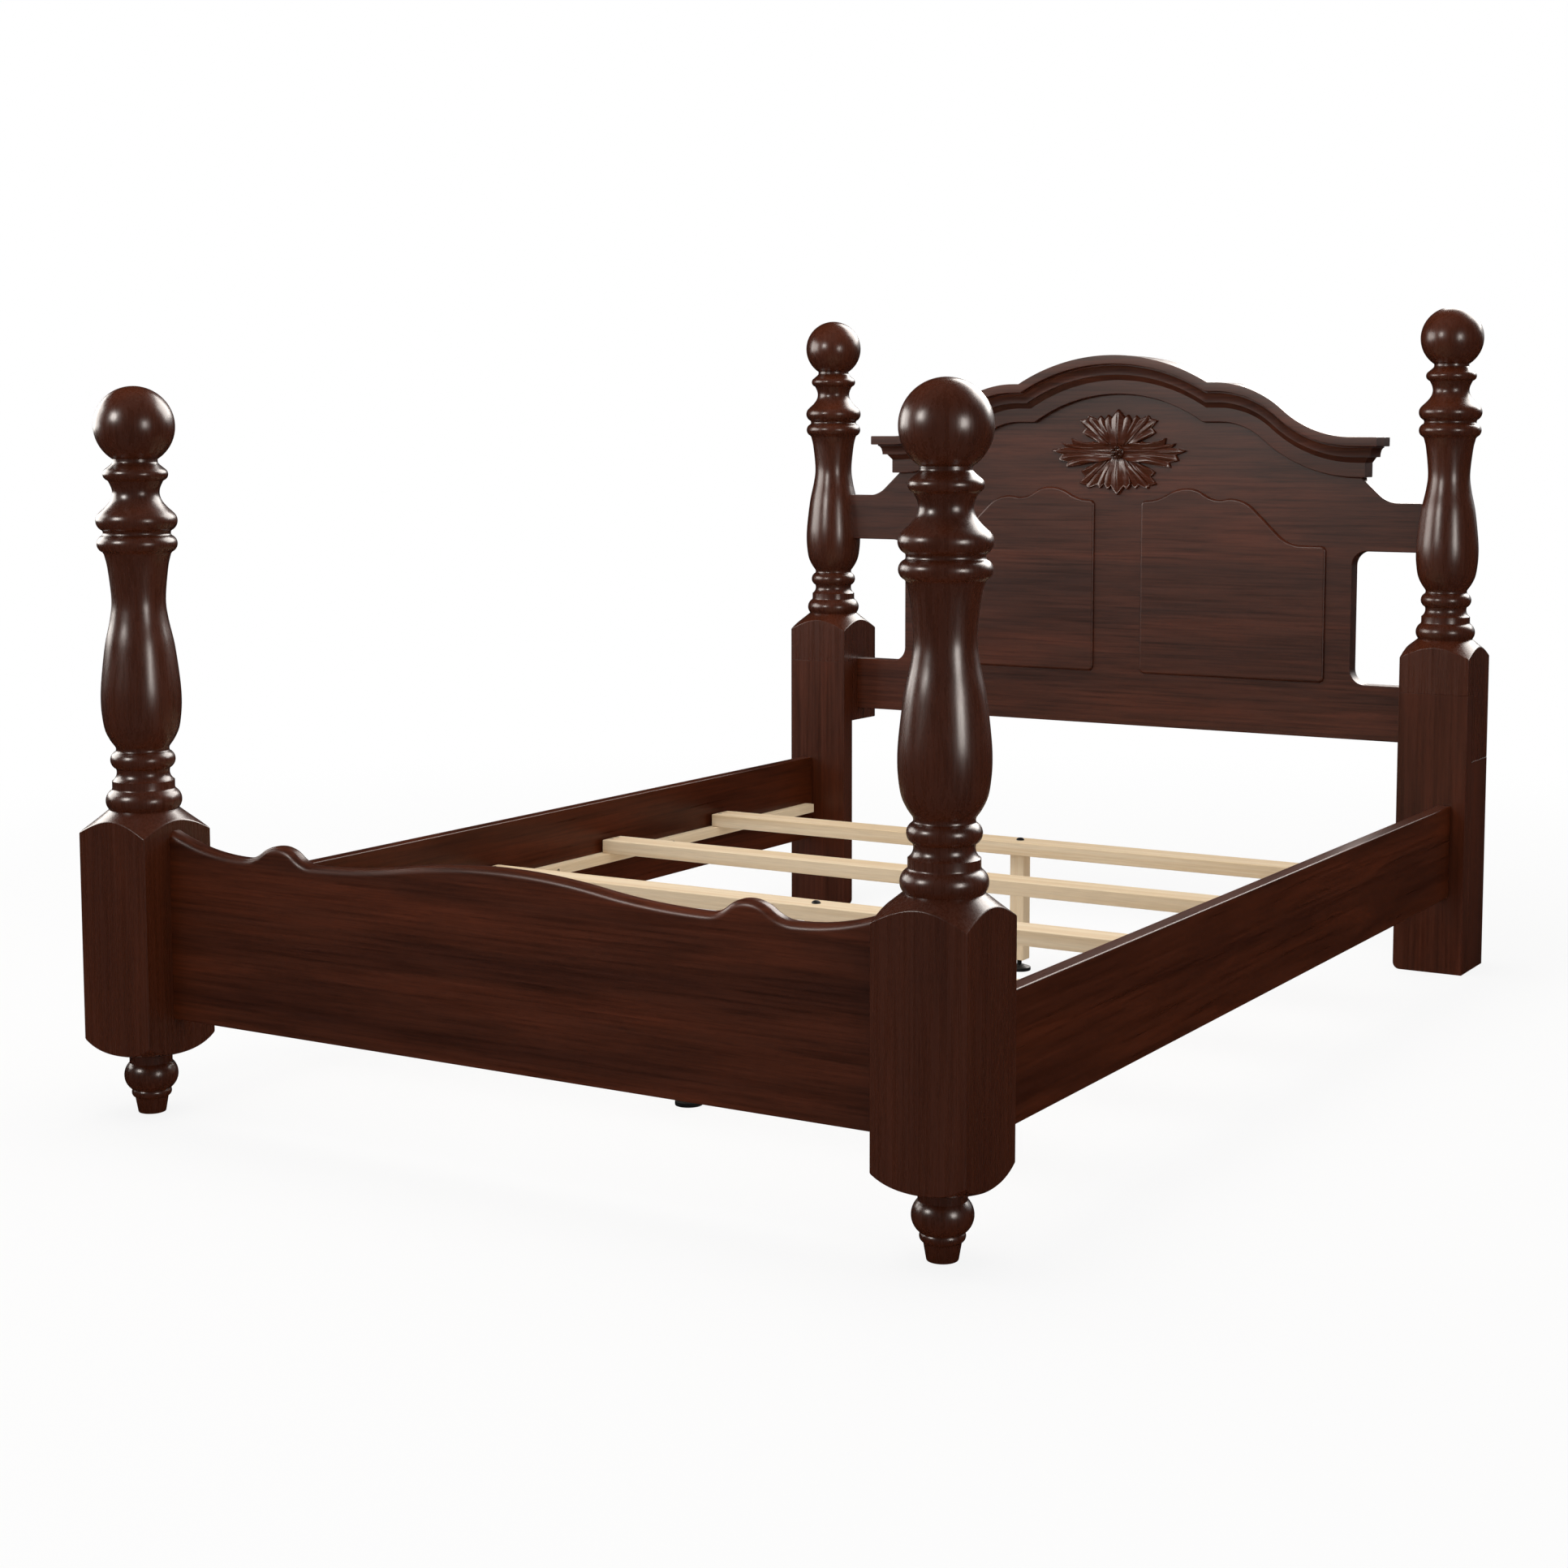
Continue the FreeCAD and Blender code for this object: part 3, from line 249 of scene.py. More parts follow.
def placed(name, data):
    obj = bpy.data.objects.new(name, data)
    bpy.context.scene.collection.objects.link(obj)
    return obj


def flattened(obj):
    """Replace an object's mesh by its evaluated one and take its modifiers off."""
    graph = bpy.context.evaluated_depsgraph_get()
    evaluated = obj.evaluated_get(graph)
    mesh = bpy.data.meshes.new_from_object(evaluated, preserve_all_data_layers=True, depsgraph=graph)
    obj.modifiers.clear()
    obj.data = mesh
    return obj


def meshed(name, bm):
    """Plain object from a bmesh, with its doubles merged and its faces turned outwards."""
    bmesh.ops.remove_doubles(bm, verts=bm.verts, dist=weld_distance)
    bmesh.ops.recalc_face_normals(bm, faces=bm.faces)
    mesh = bpy.data.meshes.new(name)
    bm.to_mesh(mesh)
    bm.free()
    return placed(name, mesh)


print("points closer than", weld_distance, "m are merged")

# %% Shading and seating
board_sharp_angle = 38


def shaded(obj, sharp_angle):
    """Smooth shading that the large flat faces decide."""
    obj.data.shade_smooth()
    obj.data.set_sharp_from_angle(angle=math.radians(sharp_angle))
    even = obj.modifiers.new("even_shading", "WEIGHTED_NORMAL")
    even.keep_sharp = True
    return flattened(obj)


def seated(obj, body, nodes):
    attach(obj, body)
    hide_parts(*nodes)
    print(obj.name, len(obj.data.polygons), "faces for", ", ".join(nodes))


def dressed(obj, material, slot, nodes, body="bed", sharp_angle=board_sharp_angle):
    """Give a plain object its finish, its shading and its place in the frame."""
    obj.data.materials.clear()
    obj.data.materials.append(material)
    seated(shaded(obj, sharp_angle), body, nodes)


def finished(name, bm, *finish, **more):
    dressed(meshed(name, bm), *finish, **more)


print("edges of boards stay sharp from", board_sharp_angle, "degrees on")


# %% Skin over rings
def loft(bm, rings, closed=True):
    """Skin a row of rings of points; a ring of one point is a pole."""
    made = [[bm.verts.new(p) for p in ring] for ring in rings]
    for low, high in zip(made, made[1:]):
        count = max(len(low), len(high))
        for i in range(count if closed else count - 1):
            j = (i + 1) % count
            if len(low) == 1:
                corners = [low[0], high[j], high[i]]
            elif len(high) == 1:
                corners = [low[i], low[j], high[0]]
            else:
                corners = [low[i], low[j], high[j], high[i]]
            bm.faces.new(corners)
    return made


trial = bmesh.new()
loft(trial, [[(0, 0, 0)], [(1, 0, 0), (0, 1, 0), (0, 0, 1)]])
print("a pole and a ring of 3 points give", len(trial.faces), "faces")
trial.free()

# %% [markdown]
# Drawing tools for outlines. An arc goes through three points, an ogee is two equal arcs that leave and
# arrive level, and a smooth run is a curve that passes through every point, as a bent batten does.


# %% Outline tools
def circle_through(start, through, end):
    """Hub and radius of the circle through three points of a plane."""
    (ax, ay), (bx, by), (cx, cy) = start, through, end
    turn = 2 * (ax * (by - cy) + bx * (cy - ay) + cx * (ay - by))
    a2, b2, c2 = ax * ax + ay * ay, bx * bx + by * by, cx * cx + cy * cy
    hub = ((a2 * (by - cy) + b2 * (cy - ay) + c2 * (ay - by)) / turn,
           (a2 * (cx - bx) + b2 * (ax - cx) + c2 * (bx - ax)) / turn)
    return hub, math.dist(hub, start)


def sweep_points(hub, radius, first, sweep, steps):
    """Points on a circle from one angle on, both ends included."""
    angles = [first + sweep * i / steps for i in range(steps + 1)]
    return [(hub[0] + radius * math.cos(a), hub[1] + radius * math.sin(a)) for a in angles]


def arc(start, through, end, steps):
    """Points after start on the arc through three points of a plane."""
    hub, radius = circle_through(start, through, end)
    first, mid, last = (math.atan2(y - hub[1], x - hub[0]) for x, y in (start, through, end))
    sweep = (last - first) % (2 * math.pi)
    if (mid - first) % (2 * math.pi) > sweep:
        sweep -= 2 * math.pi
    return sweep_points(hub, radius, first, sweep, steps)[1:]


def round_corner(corner, start_angle, radius, steps=6):
    """Quarter circle inside a corner, from start_angle on."""
    middle, reach = start_angle + math.pi / 4, radius * math.sqrt(2)
    hub = (corner[0] - reach * math.cos(middle), corner[1] - reach * math.sin(middle))
    return sweep_points(hub, radius, start_angle, math.pi / 2, steps)


unit_hub, unit_radius = circle_through((0, 0), (1, 0), (1, 1))
print("circle round a unit square has its hub at", unit_hub, "and a radius of", round(unit_radius, 4))


# %% Curves for outlines
def smooth_run(points, steps):
    """Points after the first on a curve through all of them."""
    found = []
    last = len(points) - 1
    for i in range(last):
        before, a, b, after = (Vector(points[min(max(k, 0), last)]) for k in (i - 1, i, i + 1, i + 2))
        leave = (b - before) / 2 if i else b - a
        arrive = (after - a) / 2 if i < last - 1 else b - a
        for k in range(1, steps + 1):
            t = k / steps
            found.append(tuple(a * (2 * t ** 3 - 3 * t ** 2 + 1) + leave * (t ** 3 - 2 * t ** 2 + t)
                               + b * (3 * t ** 2 - 2 * t ** 3) + arrive * (t ** 3 - t ** 2)))
    return found


def ogee(start, end, steps, depth=0.0):
    """Points from start to end on two equal arcs, moved square to the curve by depth on the underside."""
    run, rise = end[0] - start[0], end[1] - start[1]
    radius = (run ** 2 + rise ** 2) / (4 * abs(rise))
    swing = 2 * math.atan2(abs(rise), abs(run))
    turn, side = math.copysign(1, rise), math.copysign(1, run)
    angles = [swing * i / steps for i in range(steps + 1)]
    halves = []
    for (x, z), sense in ((start, 1), (end, -1)):
        reach = radius + sense * turn * depth
        halves.append([(x + sense * side * reach * math.sin(a),
                        z + sense * turn * (radius - reach * math.cos(a))) for a in angles])
    return halves[0] + halves[1][::-1][1:]


print("an ogee of 8 steps has", len(ogee((0.0, 0.0), (2.0, 1.0), steps=8)), "points")

# %% [markdown]
# A post is one turned stick with a square block left at its foot. A Screw modifier could spin the
# outline, but the lathe only rounds what its tool reaches: the block's top and bottom are cones cut by a
# square. So the post is a loft, and each ring of points keeps the turned height but stops at the square's
# edge, which gives the arched shoulders of the photograph. Heights and radii of the turning are shares of
# its whole size.

# %% Turned outline
both_sides = (("left", -1), ("right", 1))
post_x, post_y = 754.35, 1117.55
turning_height, turning_radius, ball_radius = 615.1, 65.2, 65.0
arc_steps, curve_steps, ball_steps = 12, 6, 40
turning_start_share = (0.0608, 0.867)
turning_shares = (
    ("line", (0.0642, 0.879)),
    ("arc", (0.0885, 0.939), (0.1138, 0.790)),
    ("line", (0.1187, 0.773)),
    ("line", (0.1382, 0.773)),
    ("arc", (0.1593, 0.653), (0.1707, 0.667)),
    ("arc", (0.1943, 0.803), (0.2179, 0.669)),
    ("arc", (0.2244, 0.656), (0.2309, 0.675)),
    ("curve", (0.2487, 0.791), (0.2731, 0.899), (0.3024, 0.956), (0.3479, 0.991), (0.4048, 0.969),
     (0.5007, 0.859), (0.5723, 0.719), (0.6275, 0.666), (0.7105, 0.742), (0.7478, 0.819)),
    ("line", (0.7527, 0.853)),
    ("arc", (0.7755, 0.988), (0.7974, 0.850)),
    ("arc", (0.8039, 0.828), (0.8104, 0.850)),
    ("arc", (0.8389, 1.000), (0.8576, 0.913)),
    ("line", (0.8608, 0.882)),
    ("curve", (0.8747, 0.745), (0.8909, 0.629), (0.9072, 0.580), (0.9234, 0.595), (0.9413, 0.669)),
    ("line", (0.9437, 0.693)),
    ("arc", (0.9610, 0.799), (0.9725, 0.748)),
    ("curve", (0.9795, 0.668), (0.9862, 0.594), (0.9905, 0.560), (0.9940, 0.552)),
    ("line", (1.0, 0.552)),
)


def turned_line(start_share, shares, height, radius):
    """(height, radius) points of a turned outline, from its shares."""
    points = [(start_share[0] * height, start_share[1] * radius)]
    for kind, *run in shares:
        marks = [(share[0] * height, share[1] * radius) for share in run]
        if kind == "line":
            points.append(marks[0])
        if kind == "arc":
            points += arc(points[-1], marks[0], marks[1], arc_steps)
        if kind == "curve":
            points += smooth_run([points[-1]] + marks, curve_steps)
    return points


post_outline = turned_line(turning_start_share, turning_shares, turning_height, turning_radius)
ball_foot_z, ball_foot_r = post_outline[-1]
ball_z = ball_foot_z + math.sqrt(ball_radius ** 2 - ball_foot_r ** 2)
post_rise = ball_z + ball_radius
post_outline += arc(post_outline[-1], (ball_z, ball_radius), (post_rise, 0.0), ball_steps)[:-1]
print("post outline has", len(post_outline), "points and rises", round(post_rise, 1), "mm over its block")

# %% Square block
block_half, block_round = 74.35, 1.5
side_steps, corner_steps = 20, 5


def square_columns():
    """Points round a square with eased corners, anticlockwise."""
    flat = block_half - block_round
    quarter = [(block_half, -flat + 2 * flat * i / side_steps) for i in range(side_steps)]
    quarter += sweep_points((flat, flat), block_round, 0.0, math.pi / 2, corner_steps)[:-1]
    columns = list(quarter)
    for _ in range(3):
        quarter = [(-y, x) for x, y in quarter]
        columns += quarter
    return columns


def arc_height(a, b, c):
    """Height of the lower half of a circle through three (radius, height) points, at any radius."""
    (hub_r, hub_z), radius = circle_through(a, b, c)
    return lambda r: hub_z - math.sqrt(max(radius ** 2 - (r - hub_r) ** 2, 0.0))


corner_r = block_half * math.sqrt(2)
pommel_start = (turning_start_share[1] * turning_radius, turning_start_share[0] * turning_height)
pommel_side_height = 23.2
pommel = arc_height(pommel_start, (block_half, pommel_side_height), (corner_r, 0.0))
dome_flat_r, dome_depth, dome_side_depth = 38.0, 24.8, 20.4
dome = arc_height((dome_flat_r, -dome_depth), (block_half, -dome_side_depth), (corner_r, 0.0))
print("square block of", 2 * block_half, "mm with", len(square_columns()), "columns of points")

# %% Rings of the block
edge_ease, soft_share = 1.2, 0.3
dome_shares = (0.0, 0.2, 0.4, 0.6, 0.8, 0.92)
pommel_shares = (0.9, 0.75, 0.6, 0.45, 0.3, 0.15)


def block_rings(low_z, high_z, domed):
    """Rings of the block at the origin, from its base to the foot of the turning."""
    columns = square_columns()
    reach = [math.hypot(x, y) for x, y in columns]
    ways = [(x / r, y / r) for (x, y), r in zip(columns, reach)]
    eased = [r - edge_ease for r in reach]
    soft = edge_ease * soft_share

    def ring(spots):
        return [metres(wx * r, wy * r, z) for (wx, wy), (r, z) in zip(ways, spots)]

    if domed:
        rings = [[metres(0, 0, low_z - dome_depth)]]
        for share in dome_shares:
            radii = [dome_flat_r + (r - dome_flat_r) * share for r in reach]
            rings.append(ring([(r, low_z + dome(r)) for r in radii]))
        rings.append(ring([(r, low_z + dome(r)) for r in eased]))
        rings.append(ring([(r - soft, low_z + dome(r) + soft) for r in reach]))
        rings.append(ring([(r, low_z + dome(r) + edge_ease) for r in reach]))
    else:
        rings = [[metres(0, 0, low_z)], ring([(r, low_z) for r in eased])]
        rings.append(ring([(r, low_z + edge_ease) for r in reach]))
    rings.append(ring([(r, high_z + pommel(r) - edge_ease) for r in reach]))
    rings.append(ring([(r - soft, high_z + pommel(r) - soft) for r in reach]))
    rings.append(ring([(r, high_z + pommel(r)) for r in eased]))
    for share in pommel_shares:
        radii = [pommel_start[0] + (r - pommel_start[0]) * share for r in reach]
        rings.append(ring([(r, high_z + pommel(r)) for r in radii]))
    return rings


print("rings of a block with a domed base:", len(block_rings(0.0, block_half, True)))

# %% Rings of the turning
spread_steps = 8


def turned_rings(high_z):
    """Rings of the turning; its columns leave the square's angles and spread out evenly."""
    columns = square_columns()
    count = len(columns)
    side_middle = side_steps / 2 / count
    even_angles = [2 * math.pi * (i / count - side_middle) for i in range(count)]
    square_angles = [b + math.remainder(math.atan2(y, x) - b, 2 * math.pi)
                     for (x, y), b in zip(columns, even_angles)]
    rings = []
    for step, (z, r) in enumerate(post_outline):
        spread = min(1.0, step / spread_steps)
        angles = [a + (b - a) * spread for a, b in zip(square_angles, even_angles)]
        rings.append([metres(r * math.cos(a), r * math.sin(a), high_z + z) for a in angles])
    return rings + [[metres(0, 0, high_z + post_rise)]]


def moved(rings, x, y, z=0.0):
    shift = metres(x, y, z)
    return [[p + shift for p in ring] for ring in rings]


print("rings of the turning:", len(turned_rings(0.0)))

# %% Foot posts
foot_block_low, foot_block_high = 130.4, 476.8
foot_rings = block_rings(foot_block_low, foot_block_high, True) + turned_rings(foot_block_high)
for side, sign in both_sides:
    bm = bmesh.new()
    loft(bm, moved(foot_rings, sign * post_x, -post_y))
    finished("turned_foot_post_" + side, bm, upright_gloss, "cherry_lacquer", ["foot_post_" + side])

# %% [markdown]
# A head post has the same turning on a shorter block. A lap is sawn out of the front of the block for the
# leg's front board, so the post is made whole and a box is taken from it with the exact Boolean.

# %% Saw
saw_reach, saw_margin = 90.0, 20.0


def add_box(bm, low, high):
    """Add a box between two corners."""
    for point in bmesh.ops.create_cube(bm, size=1.0)["verts"]:
        point.co = Vector(a if c < 0 else b for c, a, b in zip(point.co, low, high)) * mm


def box_object(name, low, high):
    bm = bmesh.new()
    add_box(bm, low, high)
    return meshed(name, bm)


def sawn(obj, saw):
    """Take one object's volume out of another with the exact Boolean."""
    cut = obj.modifiers.new("cut", "BOOLEAN")
    cut.object = saw
    cut.solver = "EXACT"
    flattened(obj)
    bpy.data.objects.remove(saw)
    return obj


print("the saw is", 2 * saw_reach, "mm wide, for a block of", 2 * block_half, "mm")

# %% Head posts
head_block_low, head_block_high = 449.2, 666.8
leg_thickness, leg_lap = 38.7, 143.8
rail_end_y = post_y - block_half
head_rings = block_rings(head_block_low, head_block_high, False) + turned_rings(head_block_high)
for side, sign in both_sides:
    bm = bmesh.new()
    loft(bm, moved(head_rings, sign * post_x, post_y))
    saw_low = (sign * post_x - saw_reach, rail_end_y - saw_margin, head_block_low - saw_margin)
    saw_high = (sign * post_x + saw_reach, rail_end_y + leg_thickness, head_block_low + leg_lap)
    post = sawn(meshed("turned_head_post_" + side, bm), box_object("lap_saw", saw_low, saw_high))
    dressed(post, upright_gloss, "cherry_lacquer", ["head_post_" + side])

# %% [markdown]
# The bun feet come off the same lathe: a tapered toe, a ring, a round bulb and a short neck under the
# block. They are lofted from the same kind of shares, and the toe gets a small round where it meets the
# floor.

# %% Bun feet
bun_height, bun_radius = 105.6, 44.0
bun_start_share = (0.0, 0.511)
bun_shares = (
    ("line", (0.246, 0.614)),
    ("line", (0.256, 0.636)),
    ("arc", (0.317, 0.739), (0.379, 0.705)),
    ("arc", (0.597, 1.000), (0.814, 0.795)),
    ("line", (1.0, 0.795)),
)
toe_ease = ((0.0, -1.5), (0.4, -0.4), (1.5, 0.2))


def lathe(line, low_z, high_z, steps=72):
    """Rings of a turned piece with flat ends, from (height, radius) points."""
    angles = [2 * math.pi * i / steps for i in range(steps)]
    rings = [[metres(r * math.cos(a), r * math.sin(a), z) for a in angles] for z, r in line]
    return [[metres(0, 0, low_z)]] + rings + [[metres(0, 0, high_z)]]


bun_line = turned_line(bun_start_share, bun_shares, bun_height, bun_radius)
toe_radius = bun_line[0][1]
bun_line = [(z, toe_radius + change) for z, change in toe_ease] + bun_line[1:]
for side, sign in both_sides:
    bm = bmesh.new()
    loft(bm, moved(lathe(bun_line, 0.0, bun_height), sign * post_x, -post_y))
    finished("turned_bun_foot_" + side, bm, upright_gloss, "cherry_lacquer", ["bun_foot_" + side])

# %% [markdown]
# Boards are cut to an outline and their edges are eased with a router. A Bevel modifier would give every
# edge one width. Here the outline is stepped inwards along a quarter circle on the front and on the back,
# so a wide round and a barely broken edge come from the same few lines.


# %% Outlines moved inwards
def inset(outline, amounts):
    """Outline moved inwards by an amount for each point; the outline runs anticlockwise in (x, z)."""
    moved_points = []
    count = len(outline)
    for i, (point, amount) in enumerate(zip(outline, amounts)):
        here = Vector(point)
        back, ahead = (here - Vector(outline[i - 1])), (Vector(outline[(i + 1) % count]) - here)
        first = Vector((-back.y, back.x)).normalized()
        second = Vector((-ahead.y, ahead.x)).normalized()
        moved_points.append(tuple(here + (first + second) / (1 + first.dot(second)) * amount))
    return moved_points


unit_square = [(0, 0), (1, 0), (1, 1), (0, 1)]
print("unit square moved in:", [[round(c, 2) for c in point] for point in inset(unit_square, [0.1] * 4)])


# %% Shaped boards
def shaped_board(bm, outline, front_y, back_y, rounds, back_rounds=None, steps=4, spread=1.0):
    """Closed board with rounded edges, of one size or one for each point; spread widens the round."""
    rings = []
    for edge, y, way in ((rounds, front_y, 1), (back_rounds or rounds, back_y, -1)):
        radii = edge if isinstance(edge, list) else [edge] * len(outline)
        half = []
        for k in range(steps + 1):
            a = math.pi / 2 * k / steps
            flat = inset(outline, [r * spread * (1 - math.sin(a)) for r in radii])
            half.append([metres(x, y + way * r * (1 - math.cos(a)), z) for (x, z), r in zip(flat, radii)])
        rings += half if way > 0 else half[::-1]
    made = loft(bm, rings)
    bm.faces.new(made[0][::-1])
    bm.faces.new(made[-1])


middle_width = 0.01


def mirrored_outline(half):
    """Whole outline from its right half, which runs from the bottom middle round to the top middle."""
    return half + [(-x, z) for x, z in half[::-1] if abs(x) > middle_width]


def on_side(outline, sign):
    """An outline of the right side, or its mirror image for the left."""
    return outline if sign > 0 else [(-x, z) for x, z in outline[::-1]]


print("half a triangle becomes", mirrored_outline([(0, 0), (1, 0), (0, 1)]))

# %% [markdown]
# The footboard is a low board whose top edge waves: a rise in the middle, a small hump at each side and
# an upward sweep to the posts. Its right half is drawn with ogees and mirrored, so both sides match, and
# only the top edge has the wide round. Both end boards run on a little inside the posts, so that no gap
# shows beside a block's eased edge.

# %% Footboard
board_reach = 690.0
footboard_front, footboard_back = -1135.9, -1103.9
footboard_low, footboard_dip = 169.5, 451.5
middle_rise, hump_rise, end_rise = 29.5, 25.5, 32.0
inner_dip_x, hump_x, outer_dip_x, inner_face_x = 374.7, 444.7, 522.2, 680.0
top_round, plain_round = 12.0, 1.5
top_margin = 5.0
rise_steps = 16
rise_radius = ((inner_face_x - outer_dip_x) ** 2 + end_rise ** 2) / (2 * end_rise)

inner_dip, outer_dip = (inner_dip_x, footboard_dip), (outer_dip_x, footboard_dip)
hump = (hump_x, footboard_dip + hump_rise)
top_edge = ogee((0.0, footboard_dip + middle_rise), inner_dip, steps=20)
top_edge += ogee(inner_dip, hump, steps=10)[1:] + ogee(hump, outer_dip, steps=10)[1:]
for i in range(1, rise_steps + 1):
    x = outer_dip_x + (board_reach - outer_dip_x) * i / rise_steps
    below_hub = math.sqrt(rise_radius ** 2 - (x - outer_dip_x) ** 2)
    top_edge.append((x, footboard_dip + rise_radius - below_hub))
outline = mirrored_outline([(0.0, footboard_low), (board_reach, footboard_low)] + top_edge[::-1])
rounds = [top_round if z > footboard_dip - top_margin else plain_round for x, z in outline]
bm = bmesh.new()
shaped_board(bm, outline, footboard_front, footboard_back, rounds, steps=6)
finished("waved_footboard", bm, across_cherry, "cherry_lacquer", ["footboard_panel"])

# %% [markdown]
# The headboard is one sawn board: a lower rail, a window at each side, arms that run into the posts,
# sloped shoulders, and the crown's curve on top. It could be cut from a box with Booleans, but one closed
# outline keeps its edges clean, so the right half is drawn from the bottom round to the top and mirrored.

# %% Crown curve
crown_peak, crown_shoulder, crown_end = 1310.0, 1247.5, 1129.3
arch_half, crown_hump_x, crown_foot_x = 230.0, 245.0, 560.0
arch_rise = crown_peak - crown_shoulder
arch_radius = (arch_half ** 2 + arch_rise ** 2) / (2 * arch_rise)
arch_steps, sweep_steps = 28, 18


def crown_line(depth):
    """Points of the crown's right half, from its peak to where its last flat starts, moved down by depth."""
    hub_z, radius = crown_peak - arch_radius, arch_radius - depth
    kink_x = math.sqrt(radius ** 2 - (crown_shoulder - depth - hub_z) ** 2)
    last = math.atan2(kink_x, crown_shoulder - depth - hub_z)
    angles = [last * i / arch_steps for i in range(arch_steps + 1)]
    points = [(radius * math.sin(a), hub_z + radius * math.cos(a)) for a in angles]
    return points + ogee((crown_hump_x, crown_shoulder), (crown_foot_x, crown_end), sweep_steps, depth)


print("crown curve has", len(crown_line(0.0)), "points")

# %% Headboard
board_front, board_back = 1106.0, 1144.0
headboard_low, lower_rail_top, arm_low, arm_top = 478.0, 597.5, 885.0, 989.0
window_x, window_round = 550.0, 32.0
neck_x, neck_z = 566.5, 1043.3
arm_end_x = 714.0
shoulder_start, shoulder_round = 650.5, 65.0
slope_angle = math.radians(42.9)
crown_lap, headboard_ease, corner_arc_steps = 15.0, 2.2, 10

bend = window_round * (1 - math.sqrt(0.5))
window_in = window_x + window_round
half = [(0.0, headboard_low), (board_reach, headboard_low), (board_reach, lower_rail_top)]
half.append((window_in, lower_rail_top))
half += arc(half[-1], (window_x + bend, lower_rail_top + bend), (window_x, lower_rail_top + window_round),
            corner_arc_steps)
half.append((window_x, arm_low - window_round))
half += arc(half[-1], (window_x + bend, arm_low - bend), (window_in, arm_low), corner_arc_steps)
half += [(arm_end_x, arm_low), (arm_end_x, arm_top), (shoulder_start, arm_top)]
for i in range(1, corner_arc_steps + 1):
    a = slope_angle * i / corner_arc_steps
    half.append((shoulder_start - shoulder_round * math.sin(a),
                 arm_top + shoulder_round * (1 - math.cos(a))))
half += [(neck_x, neck_z), (neck_x, crown_end - crown_lap)] + crown_line(crown_lap)[::-1]
outline = mirrored_outline(half)
bm = bmesh.new()
shaped_board(bm, outline, board_front, board_back, headboard_ease, steps=3)
finished("shaped_headboard", bm, across_gloss, "cherry_lacquer", ["headboard_panel"])

# %% [markdown]
# Two raised fields lie on the headboard. They are thin boards with waved tops and softly rounded edges,
# which catch one thin line of light along the top and throw a dark line at the side. An Inset on the
# headboard's face would fuse them with it, so each is a shaped board of its own, sunk a little into the
# big one.

# %% Raised fields
field_inner, field_outer, field_low, field_step_z = 57.5, 492.0, 597.5, 895.0
field_dip, field_hump = (70.1, 987.0), (170.0, 1015.5)
field_notch, slope_top, slope_foot = (246.1, 991.0), (272.1, 994.0), (436.8, field_step_z)
field_round, field_proud, field_sunk = 12.0, 6.0, 2.0
field_front_ease, field_back_ease, field_ease_spread = 4.8, 0.3, 1.1
slope_steepness = 1.42


def field_slope(start, end, steps):
    """A straight slope with an equal arc at each end."""
    run, fall = end[0] - start[0], start[1] - end[1]
    angle = slope_steepness * math.atan2(fall, run)
    radius = (run * math.tan(angle) - fall) * math.cos(angle) / (1 - math.cos(angle)) / 2
    angles = [angle * i / steps for i in range(steps + 1)]
    first = [(start[0] + radius * math.sin(a), start[1] - radius * (1 - math.cos(a))) for a in angles]
    second = [(end[0] - radius * math.sin(a), end[1] + radius * (1 - math.cos(a))) for a in angles]
    return first + second[::-1]


field_top = ogee(field_dip, field_hump, steps=8) + ogee(field_hump, field_notch, steps=8)[1:]
field_top += ogee(field_notch, slope_top, steps=4)[1:]
field_top += field_slope(slope_top, slope_foot, steps=8)[1:]
field_outline = round_corner((field_inner, field_low), math.pi, field_round)
field_outline += round_corner((field_outer, field_low), -math.pi / 2, field_round)
field_outline += round_corner((field_outer, field_step_z), 0.0, field_round)
field_outline += field_top[::-1] + round_corner((field_inner, field_dip[1]), math.pi / 2, field_round)[1:]
for side, sign in both_sides:
    bm = bmesh.new()
    shaped_board(bm, on_side(field_outline, sign), board_front - field_proud, board_front + field_sunk,
                 field_front_ease, field_back_ease, steps=6, spread=field_ease_spread)
    finished("raised_field_" + side, bm, across_gloss, "cherry_lacquer", ["raised_panel_" + side])

# %% [markdown]
# The crown is a moulding that follows the headboard's top and turns back along its ends. A moulding is a
# profile carried along a line. A bevelled curve would pinch at the ends, so here each profile point has a
# depth below the crown's curve and a projection in front of the board, and at each end it goes round the
# corner and back to the wall side.


# %% Crown mouldings
def crown_stations(depth, projection):
    """One profile point carried along the crown, from the back of its left end to the back of its right."""
    front_y = board_front - projection
    right = [metres(x, front_y, z) for x, z in crown_line(depth)]
    end_x = neck_x + max(projection, 0.0)
    right.append(metres(end_x, front_y, crown_end - depth))
    right.append(metres(end_x, board_back, crown_end - depth))
    left = [Vector((-p.x, p.y, p.z)) for p in right[:0:-1]]
    return left + right


def moulding(name, profile, node_name):
    """Closed moulding from (depth, projection) points."""
    bm = bmesh.new()
    made = loft(bm, [crown_stations(*point) for point in profile + profile[:1]], closed=False)
    for end in (0, -1):
        bm.faces.new([row[end] for row in made[:-1]])
    finished(name, bm, across_gloss, "cherry_lacquer", [node_name], sharp_angle=32)


print("a moulding has", len(crown_stations(0.0, 0.0)), "stations along the crown")

# %% Crown cap
crown_ease = 1.6


